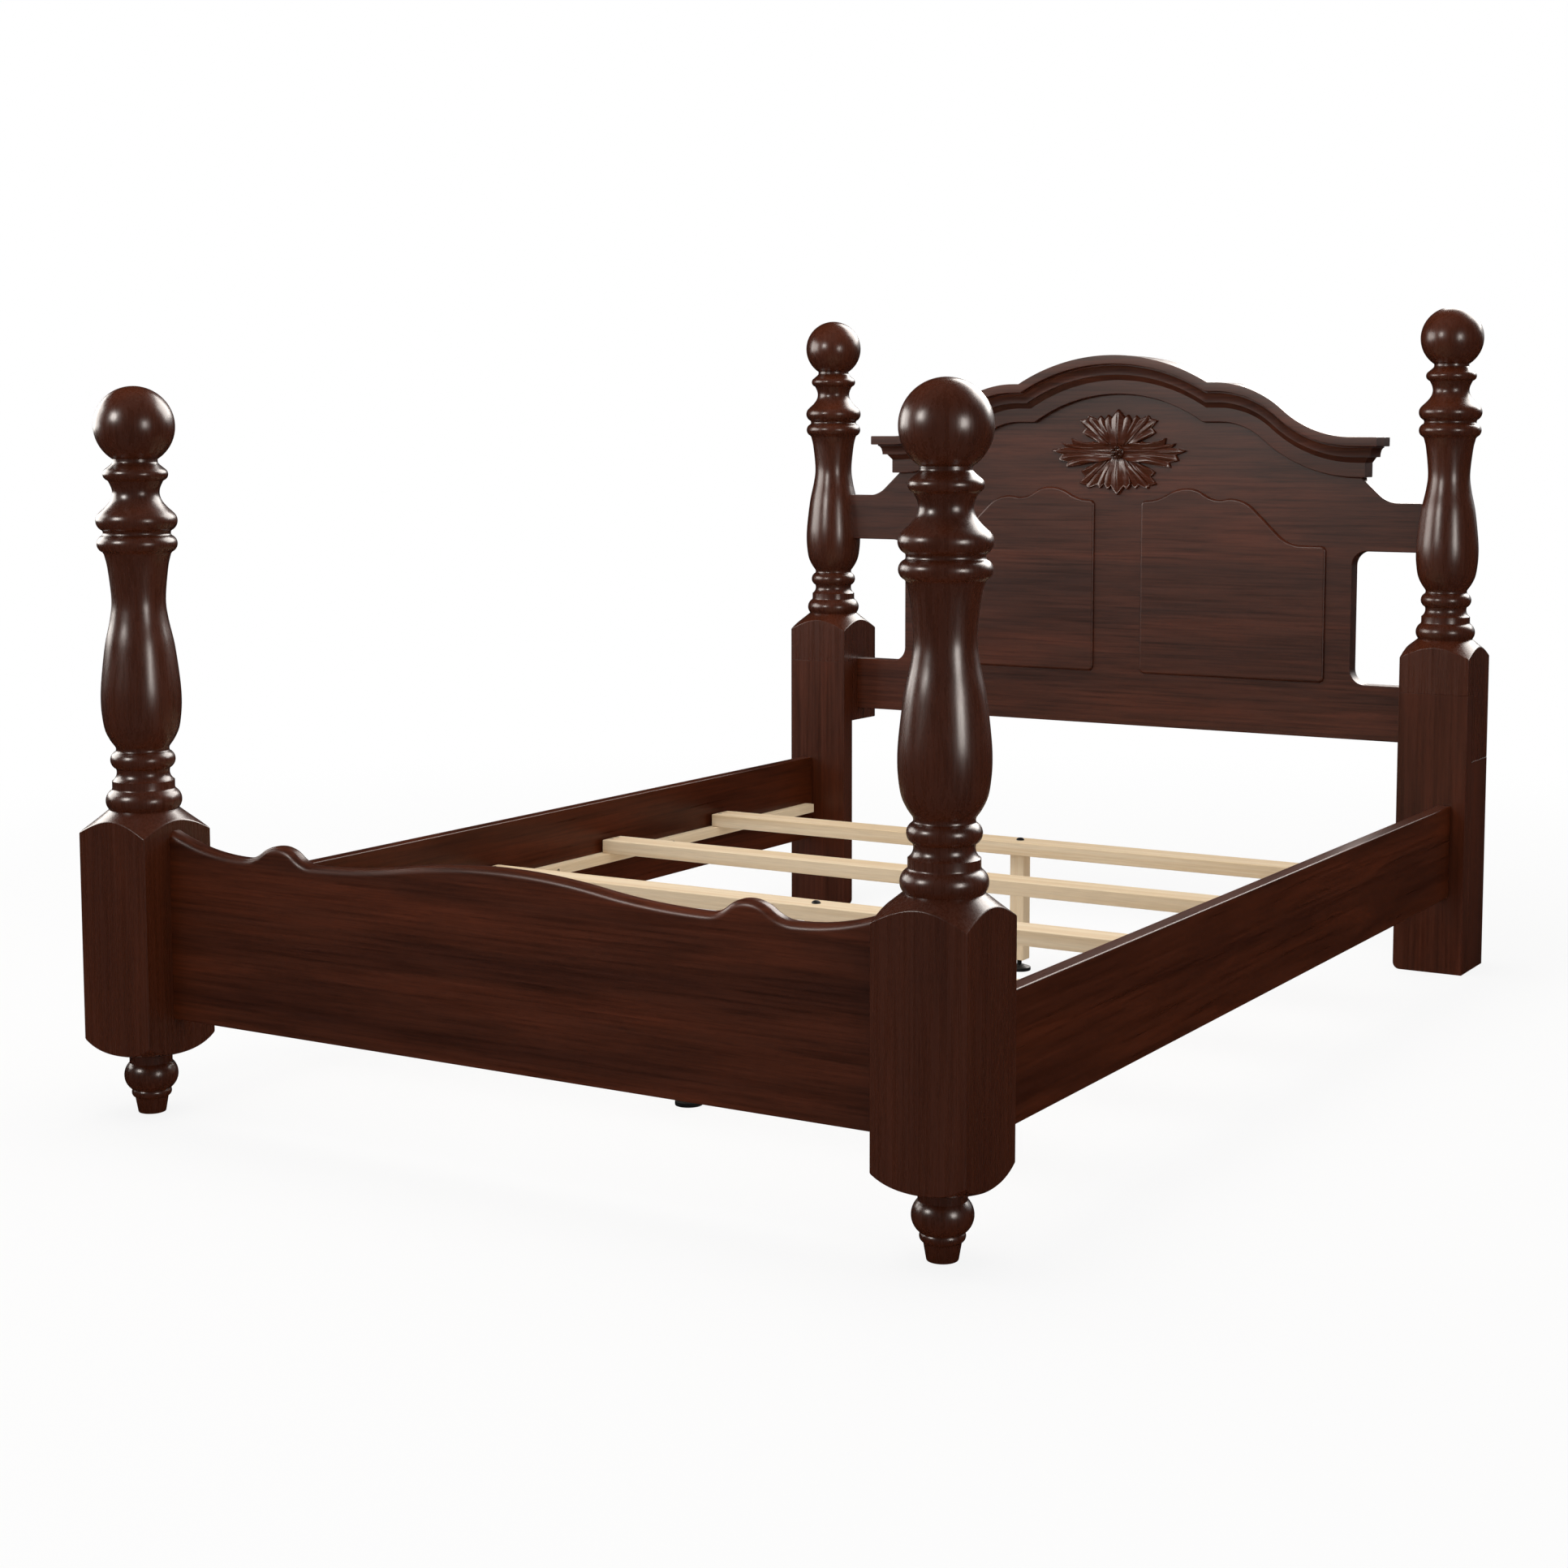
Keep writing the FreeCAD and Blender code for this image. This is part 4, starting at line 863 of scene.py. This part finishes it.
def eased_corner(depth, projection, arriving, leaving):
    """Three points that break a profile's corner; each way is a (depth, projection) step off the corner."""
    return [(depth + arriving[0] * crown_ease, projection + arriving[1] * crown_ease),
            (depth + (arriving[0] + leaving[0]) * crown_ease * soft_share,
             projection + (arriving[1] + leaving[1]) * crown_ease * soft_share),
            (depth + leaving[0] * crown_ease, projection + leaving[1] * crown_ease)]


back_projection = board_front - board_back
cap_projection, cap_depth = 49.0, 20.0
cap_profile = [(cap_depth, back_projection), (0.0, back_projection)]
cap_profile += eased_corner(0.0, cap_projection, (0, -1), (1, 0))
cap_profile += eased_corner(cap_depth, cap_projection, (-1, 0), (0, -1))
moulding("crown_cap_board", cap_profile, "crown_cap")

# %% Crown cove
cove_projection, cove_start = 37.0, cap_depth + 3.0
cove_fall, cove_hollow, cove_steps = 20.0, 8.0, 9
fillet_depth, fillet_projection = 43.0, 21.0
fascia_top, fascia_projection = 55.0, 12.0
cove_profile = [(cap_depth, 0.0), (cap_depth, cove_projection), (cove_start, cove_projection)]
for i in range(1, cove_steps + 1):
    a = math.pi / 2 * i / cove_steps
    cove_profile.append((cove_start + cove_fall * (1 - math.cos(a)),
                         cove_projection - cove_hollow * math.sin(a)))
cove_profile += [(fillet_depth, fillet_projection), (fascia_top, fascia_projection), (fascia_top, 0.0)]
moulding("crown_cove_moulding", cove_profile, "crown_cove")

# %% Crown fascia
fascia_low = 86.0
fascia_profile = [(fascia_top, 0.0), (fascia_top, fascia_projection)]
fascia_profile += eased_corner(fascia_low, fascia_projection, (-1, 0), (0, -1)) + [(fascia_low, 0.0)]
moulding("crown_fascia_board", fascia_profile, "crown_fascia")

# %% [markdown]
# The ornament is a traditional carved leaf spray round a boss. It could be sculpted, but a script can't
# repeat strokes of a brush, so each leaf is drawn as a carver sketches it: a fan of veins, of which some
# end in a tip and the ones between end in a notch. A ray below has its root, its bend and its end, in
# millimetres from the ornament's middle, and a hollow that is 0 on a vein and 1 in a notch. The surface
# folds up on the veins, sinks between them and rolls up into a bead at the rim, which is what catches the
# light.

# %% Leaf fans
rosette_z = 1094.5
upper_leaf = (((14, 14), (30, 44), (33, 71), 0.8), ((11, 15), (23, 50), (24, 84), 0.0),
              ((7, 15), (14, 52), (16, 77), 1.0), ((0, 15), (0, 55), (0, 96), 0.0))
upper_diagonal = (((13, 14), (27, 48), (34, 72), 0.8), ((14, 14), (33, 50), (44, 82), 0.0),
                  ((15, 14), (38, 48), (52, 74), 1.0), ((16, 13), (46, 50), (73, 82), 0.0),
                  ((17, 13), (50, 46), (78, 75), 1.0), ((18, 12), (55, 44), (95, 71), 0.0),
                  ((18, 11), (55, 38), (81, 55), 1.0), ((18, 10), (58, 34), (91, 44), 0.0),
                  ((18, 9), (50, 24), (74, 33), 0.8))
side_leaf = (((10, 14), (40, 24), (62, 22), 0.6), ((10, 13), (58, 20), (88, 21), 0.4),
             ((10, 11), (80, 13), (116, 32), 0.0), ((10, 8), (75, 8), (113, 17), 1.0),
             ((10, 6), (95, 5), (140, 20), 0.0), ((10, 4), (90, 3), (130, 11), 1.0),
             ((10, 0), (90, 1), (166, 4), 0.0), ((10, -4), (95, -2), (141, -6), 1.0),
             ((10, -6), (100, -4), (147, -18), 0.0), ((10, -8), (85, -8), (125, -23), 1.0),
             ((10, -11), (85, -13), (128, -34), 0.0), ((10, -13), (60, -21), (90, -29), 0.4),
             ((10, -14), (40, -25), (61, -21), 0.6))
print("fans of", len(upper_leaf), len(upper_diagonal), "and", len(side_leaf), "rays")

# %% Leaf surface
leaf_base, leaf_swell, fold_height = 4.6, 3.4, 2.3
rib_height, rib_width = 1.3, 0.13
vein_depth, vein_width = 2.0, 0.035
rim_height, rim_width = 1.6, 0.045
fall_start, fall_run = 0.97, 0.03


def smooth_step(low, high, value):
    t = min(1.0, max(0.0, (value - low) / (high - low)))
    return t * t * (3 - 2 * t)


def ridge(distance, width):
    return math.exp(-(distance / width) ** 2)


def leaf_height(along, hollow, across, cup):
    """Height of a leaf: along runs from root to rim, across from -1 to 1; cup raises its two sides."""
    body = leaf_base + leaf_swell * math.sin(math.pi * along ** 0.8)
    fold = fold_height * (0.6 - hollow ** 1.5) * smooth_step(0.15, 0.8, along)
    rib = rib_height * ridge(across, rib_width) - vein_depth * ridge(across, vein_width)
    channel = cup * abs(across) ** 1.5 * smooth_step(0.0, 0.3, along) * smooth_step(1.0, 0.45, along)
    rim = rim_height * ridge(1 - along, rim_width)
    fall = 0.5 * max(0.0, (along - fall_start) / fall_run) ** 2
    return (body + fold + rib * smooth_step(1.0, 0.8, along) + channel + rim) * (1 - fall)


print("a vein stands", round(leaf_height(0.5, 0.0, 0.5, 0.0), 1), "mm high halfway")

# %% Leaf slab
leaf_rows = [i / 20 for i in range(19)] + [0.93, 0.955, 0.975, 0.99, 1.0]
side_fall = {0: 0.5, 1: 0.9}
tip_bulge, leaf_sunk = 0.01, 1.0


def leaf(bm, rays, lift, cup, steps=12):
    """One leaf as a closed slab over a fan of rays."""
    spread = []
    for k, (first, second) in enumerate(zip(rays, rays[1:])):
        for i in range(steps + (k == len(rays) - 2)):
            f = i / steps
            ray = [Vector(a).lerp(Vector(b), f) for a, b in zip(first[:3], second[:3])]
            hollow = first[3] + (second[3] - first[3]) * f
            spread.append((ray, hollow, 1 + tip_bulge * math.sin(math.pi * f)))
    last = len(spread) - 1
    front, rear = [], []
    for along in leaf_rows:
        line, base = [], []
        for k, ((root, bow, end), hollow, swell) in enumerate(spread):
            t = along * swell
            spot = root * (1 - t) ** 2 + bow * (2 * t * (1 - t)) + end * t ** 2
            edge = side_fall.get(min(k, last - k), 1.0)
            high = (lift + leaf_height(along, hollow, 2 * k / last - 1, cup)) * edge
            line.append(bm.verts.new(metres(spot.x, board_front - high, rosette_z + spot.y)))
            base.append(bm.verts.new(metres(spot.x, board_front + leaf_sunk, rosette_z + spot.y)))
        front.append(line)
        rear.append(base)
    strips = [pair for sheet in (front, rear) for pair in zip(sheet, sheet[1:])]
    strips += [(front[0], rear[0]), (front[-1], rear[-1])]
    strips += [([row[k] for row in front], [row[k] for row in rear]) for k in (0, last)]
    for low, high in strips:
        for corners in zip(low, low[1:], high[1:], high):
            bm.faces.new(corners)


print("a leaf has", len(leaf_rows), "rows from root to rim")

# %% Carved rosette
eyelet_x, eyelet_z, eyelet_proud, eyelet_radius = 60.0, 21.0, 6.0, 3.6
boss_height = 12.0
boss_line = [(0.0, 16.5), (7.0, 16.0), (10.0, 13.5), (11.5, 9.0), (boss_height, 4.0)]


def flipped(rays, x_sign, z_sign):
    """The same fan on another side of the boss."""
    return [[(x * x_sign, z * z_sign) for x, z in ray[:3]] + [ray[3]] for ray in rays]


bm = bmesh.new()
for z_sign in (1, -1):
    whole = flipped(upper_leaf[:-1], -1, z_sign) + flipped(upper_leaf[::-1], 1, z_sign)
    leaf(bm, whole, lift=3.0, cup=-2.0)
    for x_sign in (1, -1):
        leaf(bm, flipped(upper_diagonal, x_sign, z_sign), lift=0.0, cup=3.0)
for x_sign in (1, -1):
    leaf(bm, flipped(side_leaf, x_sign, 1), lift=0.5, cup=6.0)
    for z_sign in (1, -1):
        spot = metres(x_sign * eyelet_x, board_front - eyelet_proud, rosette_z + z_sign * eyelet_z)
        bmesh.ops.create_icosphere(bm, subdivisions=3, radius=eyelet_radius * mm,
                                   matrix=Matrix.Translation(spot))
turn_forward = Matrix.Rotation(math.pi / 2, 3, "X")
boss_rings = [[turn_forward @ p for p in ring] for ring in lathe(boss_line, 0.0, boss_height, steps=40)]
loft(bm, moved(boss_rings, 0, board_front, rosette_z))
finished("carved_rosette", bm, carved_cherry, "cherry_lacquer", ["rosette_leaves"], sharp_angle=60)

# %% [markdown]
# Things that repeat come from Geometry Nodes. This tree takes a cloud of points, sets a copied piece on
# each, turns them all alike, makes the copies real and gives them their finish. Seeds and screws use it.


# %% Copies on points
def new_tree(name, inputs):
    tree = bpy.data.node_groups.new(name, "GeometryNodeTree")
    tree.interface.new_socket("Geometry", in_out="INPUT", socket_type="NodeSocketGeometry")
    for title, kind in inputs:
        tree.interface.new_socket(title, in_out="INPUT", socket_type="NodeSocket" + kind)
    tree.interface.new_socket("Geometry", in_out="OUTPUT", socket_type="NodeSocketGeometry")
    return tree, tree.nodes.new("NodeGroupInput").outputs


def end_tree(tree, given, instances):
    """Close a tree with real copies and their finish."""
    real = node(tree, "GeometryNodeRealizeInstances", [("Geometry", instances)])
    links = [("Geometry", real.outputs["Geometry"]), ("Material", given["Finish"])]
    coat = node(tree, "GeometryNodeSetMaterial", links)
    node(tree, "NodeGroupOutput", [("Geometry", coat.outputs["Geometry"])])


copy_tree, given = new_tree("copies_on_points", [("Copied piece", "Object"), ("Turn", "Vector"),
                                                 ("Finish", "Material")])
source = node(copy_tree, "GeometryNodeObjectInfo", [("Object", given["Copied piece"])])
turner = node(copy_tree, "FunctionNodeEulerToRotation", [("Euler", given["Turn"])])
copier = node(copy_tree, "GeometryNodeInstanceOnPoints", [("Points", given["Geometry"]),
                                                          ("Instance", source.outputs["Geometry"]),
                                                          ("Rotation", turner.outputs["Rotation"])])
end_tree(copy_tree, given, copier.outputs["Instances"])
print("tree", copy_tree.name, "has", len(copy_tree.nodes), "nodes")


# %% Running a tree
def grown(obj, tree, values):
    """Run a tree on an object and keep the result as a plain mesh."""
    modifier = obj.modifiers.new(tree.name, "NODES")
    modifier.node_group = tree
    for item in tree.interface.items_tree:
        if item.in_out == "INPUT" and item.name in values:
            modifier[item.identifier] = values[item.name]
    return flattened(obj)


def copies(name, template, batches, material, slot, nodes):
    """One object of copies of a template, from (places, turn) batches."""
    bm = bmesh.new()
    for places, turn in batches:
        points = bpy.data.meshes.new(name)
        points.from_pydata([metres(*place) for place in places], [], [])
        cloud = placed(name + "_batch", points)
        grown(cloud, copy_tree, {"Copied piece": template, "Turn": turn, "Finish": material})
        bm.from_mesh(cloud.data)
        bpy.data.objects.remove(cloud)
    bpy.data.objects.remove(template)
    finished(name, bm, material, slot, nodes, sharp_angle=42)


unturned = (0.0, 0.0, 0.0)
print("its inputs are", [item.name for item in copy_tree.interface.items_tree if item.in_out == "INPUT"])

# %% [markdown]
# Seven dark seeds sit on the boss, one in the middle and six round it. They are one small ball and seven
# points for the tree above.

# %% Seeds of the rosette
seed_radius, seed_proud, middle_lift = 5.0, 12.5, 2.0
seed_circle, seed_count = 10.8, 6
bm = bmesh.new()
bmesh.ops.create_icosphere(bm, subdivisions=3, radius=seed_radius * mm)
seed = meshed("seed", bm)
seed_y = board_front - seed_proud
seed_places = [(0.0, seed_y - middle_lift, rosette_z)]
for i in range(seed_count):
    a = 2 * math.pi * (i + 0.5) / seed_count
    seed_places.append((seed_circle * math.cos(a), seed_y, rosette_z + seed_circle * math.sin(a)))
copies("rosette_seed_cluster", seed, [(seed_places, unturned)], dark_stain, "dark_stain", ["rosette_seeds"])

# %% [markdown]
# The head legs are two boards that make an L. The front board laps into the block, and its inner bottom
# corner is rounded off, so it is a shaped board. The leg's side board and the rails are plain boxes, so a
# bevel on all their edges is enough.

# %% Legs and rails
block_outer_y = post_y + block_half
leg_inner_x, leg_outer_x = post_x - block_half, post_x + block_half
leg_top = head_block_low + leg_lap
leg_corner_round, leg_front_ease, leg_side_ease = 15.0, 1.3, 0.4
rail_faces, rail_edges, rail_ease = (770.0, 797.5), (163.8, 358.8), 2.6


def plank(name, sign, across, along, up, ease, material, node_name):
    """Box between pairs of X, Y and Z on one side of the bed, with all its edges rounded."""
    bm = bmesh.new()
    add_box(bm, *zip(sorted(sign * x for x in across), along, up))
    bmesh.ops.bevel(bm, geom=bm.edges[:], offset=ease * mm, segments=3, profile=0.5, affect="EDGES")
    finished(name, bm, material, "cherry_lacquer", [node_name])


leg_outline = round_corner((leg_inner_x, 0.0), math.pi, leg_corner_round)
leg_outline += [(leg_outer_x, 0.0), (leg_outer_x, leg_top), (leg_inner_x, leg_top)]
for side, sign in both_sides:
    bm = bmesh.new()
    shaped_board(bm, on_side(leg_outline, sign), rail_end_y, rail_end_y + leg_thickness, leg_front_ease)
    finished("head_leg_front_" + side, bm, upright_cherry, "cherry_lacquer",
             ["head_leg_front_board_" + side])
    plank("head_leg_side_" + side, sign, (leg_outer_x - leg_thickness, leg_outer_x),
          (rail_end_y + leg_thickness, block_outer_y), (0.0, head_block_low), leg_side_ease,
          upright_cherry, "head_leg_side_board_" + side)
    plank("eased_side_rail_" + side, sign, rail_faces, (-rail_end_y, rail_end_y), rail_edges, rail_ease,
          along_cherry, "side_rail_" + side)

# %% [markdown]
# Slats, cleats and centre legs are rows of bars, so one tree makes them all: a line of points, a bar on
# each. A Bevel modifier after the tree breaks the sawn edges.

# %% Rows of bars
bar_tree, given = new_tree("row_of_bars", [("Count", "Int"), ("First", "Vector"), ("Step", "Vector"),
                                           ("Bar size", "Vector"), ("Finish", "Material")])
row = node(bar_tree, "GeometryNodeMeshLine", [("Count", given["Count"]), ("Start Location", given["First"]),
                                              ("Offset", given["Step"])], mode="OFFSET")
bar = node(bar_tree, "GeometryNodeMeshCube", [("Size", given["Bar size"])])
copier = node(bar_tree, "GeometryNodeInstanceOnPoints", [("Points", row.outputs["Mesh"]),
                                                         ("Instance", bar.outputs["Mesh"])])
end_tree(bar_tree, given, copier.outputs["Instances"])


def bars(name, count, first, step, size, ease, material, nodes):
    obj = placed(name, bpy.data.meshes.new(name))
    grown(obj, bar_tree, {"Count": count, "First": metres(*first), "Step": metres(*step),
                          "Bar size": metres(*size), "Finish": material})
    edge = obj.modifiers.new("broken_edges", "BEVEL")
    edge.width, edge.segments, edge.limit_method = ease * mm, 3, "ANGLE"
    seated(shaded(flattened(obj), board_sharp_angle), "bed", nodes)


slat_count, slat_pitch, slat_z = 4, 417.28, 251.0
slat_length, slat_width, slat_height = 1524.0, 65.0, 28.0
slat_first_y = -1.5 * slat_pitch
cleat_x, cleat_width, cleat_length, cleat_height = 757.5, 25.0, 2022.4, 20.0
cleat_z = slat_z - cleat_height / 2
leg_side, leg_low = 32.0, 24.0
slat_ease, cleat_ease, leg_ease = 2.0, 1.2, 1.5
numbers = range(1, slat_count + 1)
bars("pine_slats", slat_count, (0, slat_first_y, slat_z + slat_height / 2), (0, slat_pitch, 0),
     (slat_length, slat_width, slat_height), slat_ease, pine_across, ["bed_slat_%d" % n for n in numbers])
bars("pine_cleats", 2, (-cleat_x, 0, cleat_z), (2 * cleat_x, 0, 0),
     (cleat_width, cleat_length, cleat_height), cleat_ease, pine_along,
     ["slat_cleat_left", "slat_cleat_right"])
bars("pine_centre_legs", slat_count, (0, slat_first_y, (leg_low + slat_z) / 2), (0, slat_pitch, 0),
     (leg_side, leg_side, slat_z - leg_low), leg_ease, pine_upright, ["support_leg_%d" % n for n in numbers])

# %% [markdown]
# Screws hold the slats to the cleats and the cleats to the rails. One countersunk screw is turned, its
# cross slot is sawn, and it is copied. A round-headed bolt comes up through each slat's middle from its
# leg.

# %% Slat screws
screw_length, screw_tip, screw_tip_radius, shank_radius = 44.0, 4.0, 0.4, 2.2
head_radius, head_depth, head_rim = 4.5, 3.0, 0.3
slot_reach, slot_half, slot_depth, slot_clear = 2.4, 0.5, 1.4, 1.0


def screw_template(name):
    """Countersunk screw with a cross slot, its head at the origin, pointing down -Z."""
    bm = bmesh.new()
    line = [(-screw_length, screw_tip_radius), (-screw_length + screw_tip, shank_radius),
            (-head_depth, shank_radius), (-head_rim, head_radius), (0.0, head_radius - head_rim)]
    loft(bm, lathe(line, -screw_length, 0.0, steps=20))
    screw = meshed(name, bm)
    for x, y in ((slot_reach, slot_half), (slot_half, slot_reach)):
        sawn(screw, box_object("slot_saw", (-x, -y, -slot_depth), (x, y, slot_clear)))
    return screw


slat_places_y = [slat_first_y + slat_pitch * i for i in range(slat_count)]
slat_top = slat_z + slat_height
screw_x, screw_gap, screw_turn = 753.5, 10.0, (0.0, 0.0, 0.3)
slat_screws = [(sign * screw_x, y + gap, slat_top) for sign in (-1, 1) for y in slat_places_y
               for gap in (-screw_gap, screw_gap)]
copies("slat_screw_set", screw_template("slat_screw"), [(slat_screws, screw_turn)],
       black_steel, "black_steel", ["slat_screws"])

# %% Cleat screws
cleat_face_x = cleat_x - cleat_width / 2
batches = []
for sign in (-1, 1):
    places = [(sign * cleat_face_x, slat_pitch * i, cleat_z) for i in range(-2, 3)]
    batches.append((places, (0.0, -sign * math.pi / 2, 0.0)))
copies("cleat_screw_set", screw_template("cleat_screw"), batches,
       black_steel, "black_steel", ["cleat_screws"])

# %% Leg bolts
bolt_length, bolt_head = 85.0, 5.5
bolt_line = [(-bolt_length, 3.6), (-84.0, 4.0), (0.0, 4.0), (0.0, 8.0), (0.6, 8.5), (2.0, 8.2), (3.6, 7.0),
             (4.8, 5.0), (5.4, 2.4)]
bm = bmesh.new()
loft(bm, lathe(bolt_line, -bolt_length, bolt_head, steps=32))
bolt_places = [(0.0, y, slat_top) for y in slat_places_y]
copies("leg_bolt_set", meshed("leg_bolt", bm), [(bolt_places, unturned)],
       black_steel, "black_steel", ["leg_bolts"])

# %% [markdown]
# Each centre leg stands on a black levelling foot that screws in and out. The four feet are bodies of
# their own, so each is a separate turned piece with a soft rim and a stem.

# %% Levelling feet
stem_top = 70.0
foot_line = [(0.0, 22.6), (0.4, 23.5), (1.4, 24.0), (6.4, 24.0), (7.5, 23.5), (8.1, 22.2), (9.6, 18.0),
             (11.2, 13.0), (11.8, 11.6), (12.0, 10.6), (12.0, 5.0), (69.0, 5.0), (stem_top, 4.2)]
for number, y in zip(numbers, slat_places_y):
    bm = bmesh.new()
    loft(bm, moved(lathe(foot_line, 0.0, stem_top, steps=48), 0.0, y))
    name = "leveller_%d" % number
    finished("levelling_foot_%d" % number, bm, black_plastic, "black_plastic", [name], name)

# %% [markdown]
# Hidden fittings keep their CAD shapes. They only change clothes: each node's material slots get the
# finish that its entry in the record names.

# %% Hidden fittings
hidden_finishes = {"beech_dowel": beech, "zinc_steel": zinc_steel, "black_steel": black_steel,
                   "black_plastic": black_plastic, "raw_pine": pine_across, "dark_stain": dark_stain,
                   "cherry_lacquer": across_cherry}
for entry in frame["record"]["subparts"]:
    cad_node = frame["nodes"][entry["node"]]
    cad_node.data.materials.clear()
    cad_node.data.materials.append(hidden_finishes[entry["material_slot"]])
still_cad = [name for name, obj in frame["nodes"].items() if not obj.hide_render]
print("fittings that still show their CAD shape:", still_cad)

# %% [markdown]
# The set is a photographer's white sweep. Far from the bed the floor glows as white as the backdrop, and
# near it a share of plain matt paint keeps the bed's soft shadow. A card of dark felt lies where the
# lacquer would otherwise mirror the floor, as a photographer would lay it. Only mirror rays see the card.


# %% Set helpers
def seen_white(tree):
    """1 for rays from the camera and for mirror and glass rays, 0 for the rest."""
    path = node(tree, "ShaderNodeLightPath")
    total = path.outputs["Is Camera Ray"]
    for name in ("Is Glossy Ray", "Is Transmission Ray"):
        added = node(tree, "ShaderNodeMath", [(0, total), (1, path.outputs[name])], operation="MAXIMUM")
        total = added.outputs[0]
    return total


def smooth_range(tree, value, from_min, from_max, to_min, to_max):
    """Carry a value smoothly from one range to another."""
    ends = {"From Min": from_min, "From Max": from_max, "To Min": to_min, "To Max": to_max}
    made = node(tree, "ShaderNodeMapRange", [("Value", value)], interpolation_type="SMOOTHSTEP", **ends)
    return made.outputs["Result"]


floor_reach = 40.0


def ground(name, height, material):
    """A wide square lying level at the given height, with the given material."""
    corners = [(x * floor_reach, y * floor_reach, height) for x, y in ((-1, -1), (1, -1), (1, 1), (-1, 1))]
    mesh = bpy.data.meshes.new(name)
    mesh.from_pydata(corners, [], [(0, 1, 2, 3)])
    mesh.materials.append(material)
    sheet = placed(name, mesh)
    return sheet


print("the set reaches", floor_reach, "m to each side")

# %% Pale floor
pure_white = (*grey(1.0), 1.0)
shadow_reach, glow_reach, near_white = 1.6, 4.5, 0.86
floor_material, tree, _ = new_material("pale_floor")
tree.nodes.clear()
matt = node(tree, "ShaderNodeBsdfDiffuse", Color=(*grey(0.80), 1.0))
white = node(tree, "ShaderNodeEmission", Color=pure_white, Strength=1.0)
place = node(tree, "ShaderNodeTexCoord")
away = node(tree, "ShaderNodeVectorMath", [(0, place.outputs["Object"])], operation="LENGTH")
fade = smooth_range(tree, away.outputs["Value"], from_min=shadow_reach, from_max=glow_reach,
                    to_min=near_white, to_max=1.0)
share = node(tree, "ShaderNodeMath", [(0, seen_white(tree)), (1, fade)], operation="MULTIPLY")
mixed = node(tree, "ShaderNodeMixShader", [("Fac", share.outputs[0]), (1, matt.outputs[0]),
                                           (2, white.outputs[0])])
node(tree, "ShaderNodeOutputMaterial", [("Surface", mixed.outputs[0])])
ground("floor", 0.0, floor_material)
print("the floor glows by", near_white, "near the bed and fully from", glow_reach, "m on")

# %% Dark card
card_height = 0.001
felt, _, shader = new_material("dark_felt")
shader.inputs["Base Color"].default_value = (*grey(0.005), 1.0)
shader.inputs["Roughness"].default_value = 1.0
shader.inputs["Specular IOR Level"].default_value = 0.0
card = ground("reflection_card", card_height, felt)
for ray in ("camera", "diffuse", "shadow", "transmission"):
    setattr(card, "visible_" + ray, False)
print("card", card.name, "shows in mirror rays only")

# %% [markdown]
# The world is white for the camera. Mirror and glass rays see that white only in a patch behind and above
# the bed, where a backdrop's bright part would be, and near black elsewhere, so the lacquer shows a clean
# highlight on a deep brown. All other rays get an even fill.

# %% World
patch_direction, fill_strength = (0.18, 0.86, 0.477), 0.70
world = bpy.data.worlds.new("sweep")
bpy.context.scene.world = world
world.use_nodes = True
tree = world.node_tree
tree.nodes.clear()
direction = node(tree, "ShaderNodeTexCoord").outputs["Generated"]
facing = node(tree, "ShaderNodeVectorMath", [(0, direction)], operation="DOT_PRODUCT")
facing.inputs[1].default_value = patch_direction
patch = smooth_range(tree, facing.outputs["Value"], from_min=0.87, from_max=0.93, to_min=0.01, to_max=1.0)
camera_ray = node(tree, "ShaderNodeLightPath").outputs["Is Camera Ray"]
# A Mix node for numbers takes its factor in socket 0 and its two values in sockets 2 and 3.
seen = node(tree, "ShaderNodeMix", [(0, camera_ray), (2, patch)], data_type="FLOAT")
seen.inputs[3].default_value = 1.0
strength = node(tree, "ShaderNodeMix", [(0, seen_white(tree)), (3, seen.outputs[0])], data_type="FLOAT")
strength.inputs[2].default_value = fill_strength
sky = node(tree, "ShaderNodeBackground", [("Strength", strength.outputs[0])], Color=pure_white)
node(tree, "ShaderNodeOutputWorld", [("Surface", sky.outputs[0])])
print("world", world.name, "fills with", fill_strength)

# %% [markdown]
# A wide box overhead gives the light itself, so the slats are brighter on top than in front. The other
# boxes only draw highlights: they are hidden from diffuse rays, and they stand where the balls of the
# posts mirror them.

# %% Soft boxes
bed_middle = Vector((0.0, 0.0, 0.7))
warm_light = (1.0, 0.955, 0.90)
soft_boxes = (
    ("front_left_box", (-1.6, -4.1, 2.45), (1.0, 1.0), 84.0, "diffuse"),
    ("right_box", (4.2, -2.3, 1.5), (1.0, 1.3), 70.0, "diffuse"),
    ("left_box", (-3.6, -0.9, 1.75), (2.6, 1.6), 100.0, "diffuse"),
    ("back_box", (1.2, 7.6, 5.6), (7.6, 5.6), 1250.0, "diffuse"),
    ("top_box", (-0.4, -0.4, 3.8), (3.0, 3.4), 92.0, "glossy"),
)
for name, place, (width, height), power, hidden_from in soft_boxes:
    data = bpy.data.lights.new(name, "AREA")
    data.shape = "RECTANGLE"
    data.size, data.size_y = width, height
    data.energy = power
    data.color = warm_light
    lamp = placed(name, data)
    lamp.location = place
    lamp.rotation_euler = (bed_middle - Vector(place)).to_track_quat("-Z", "Y").to_euler()
    setattr(lamp, "visible_" + hidden_from, False)
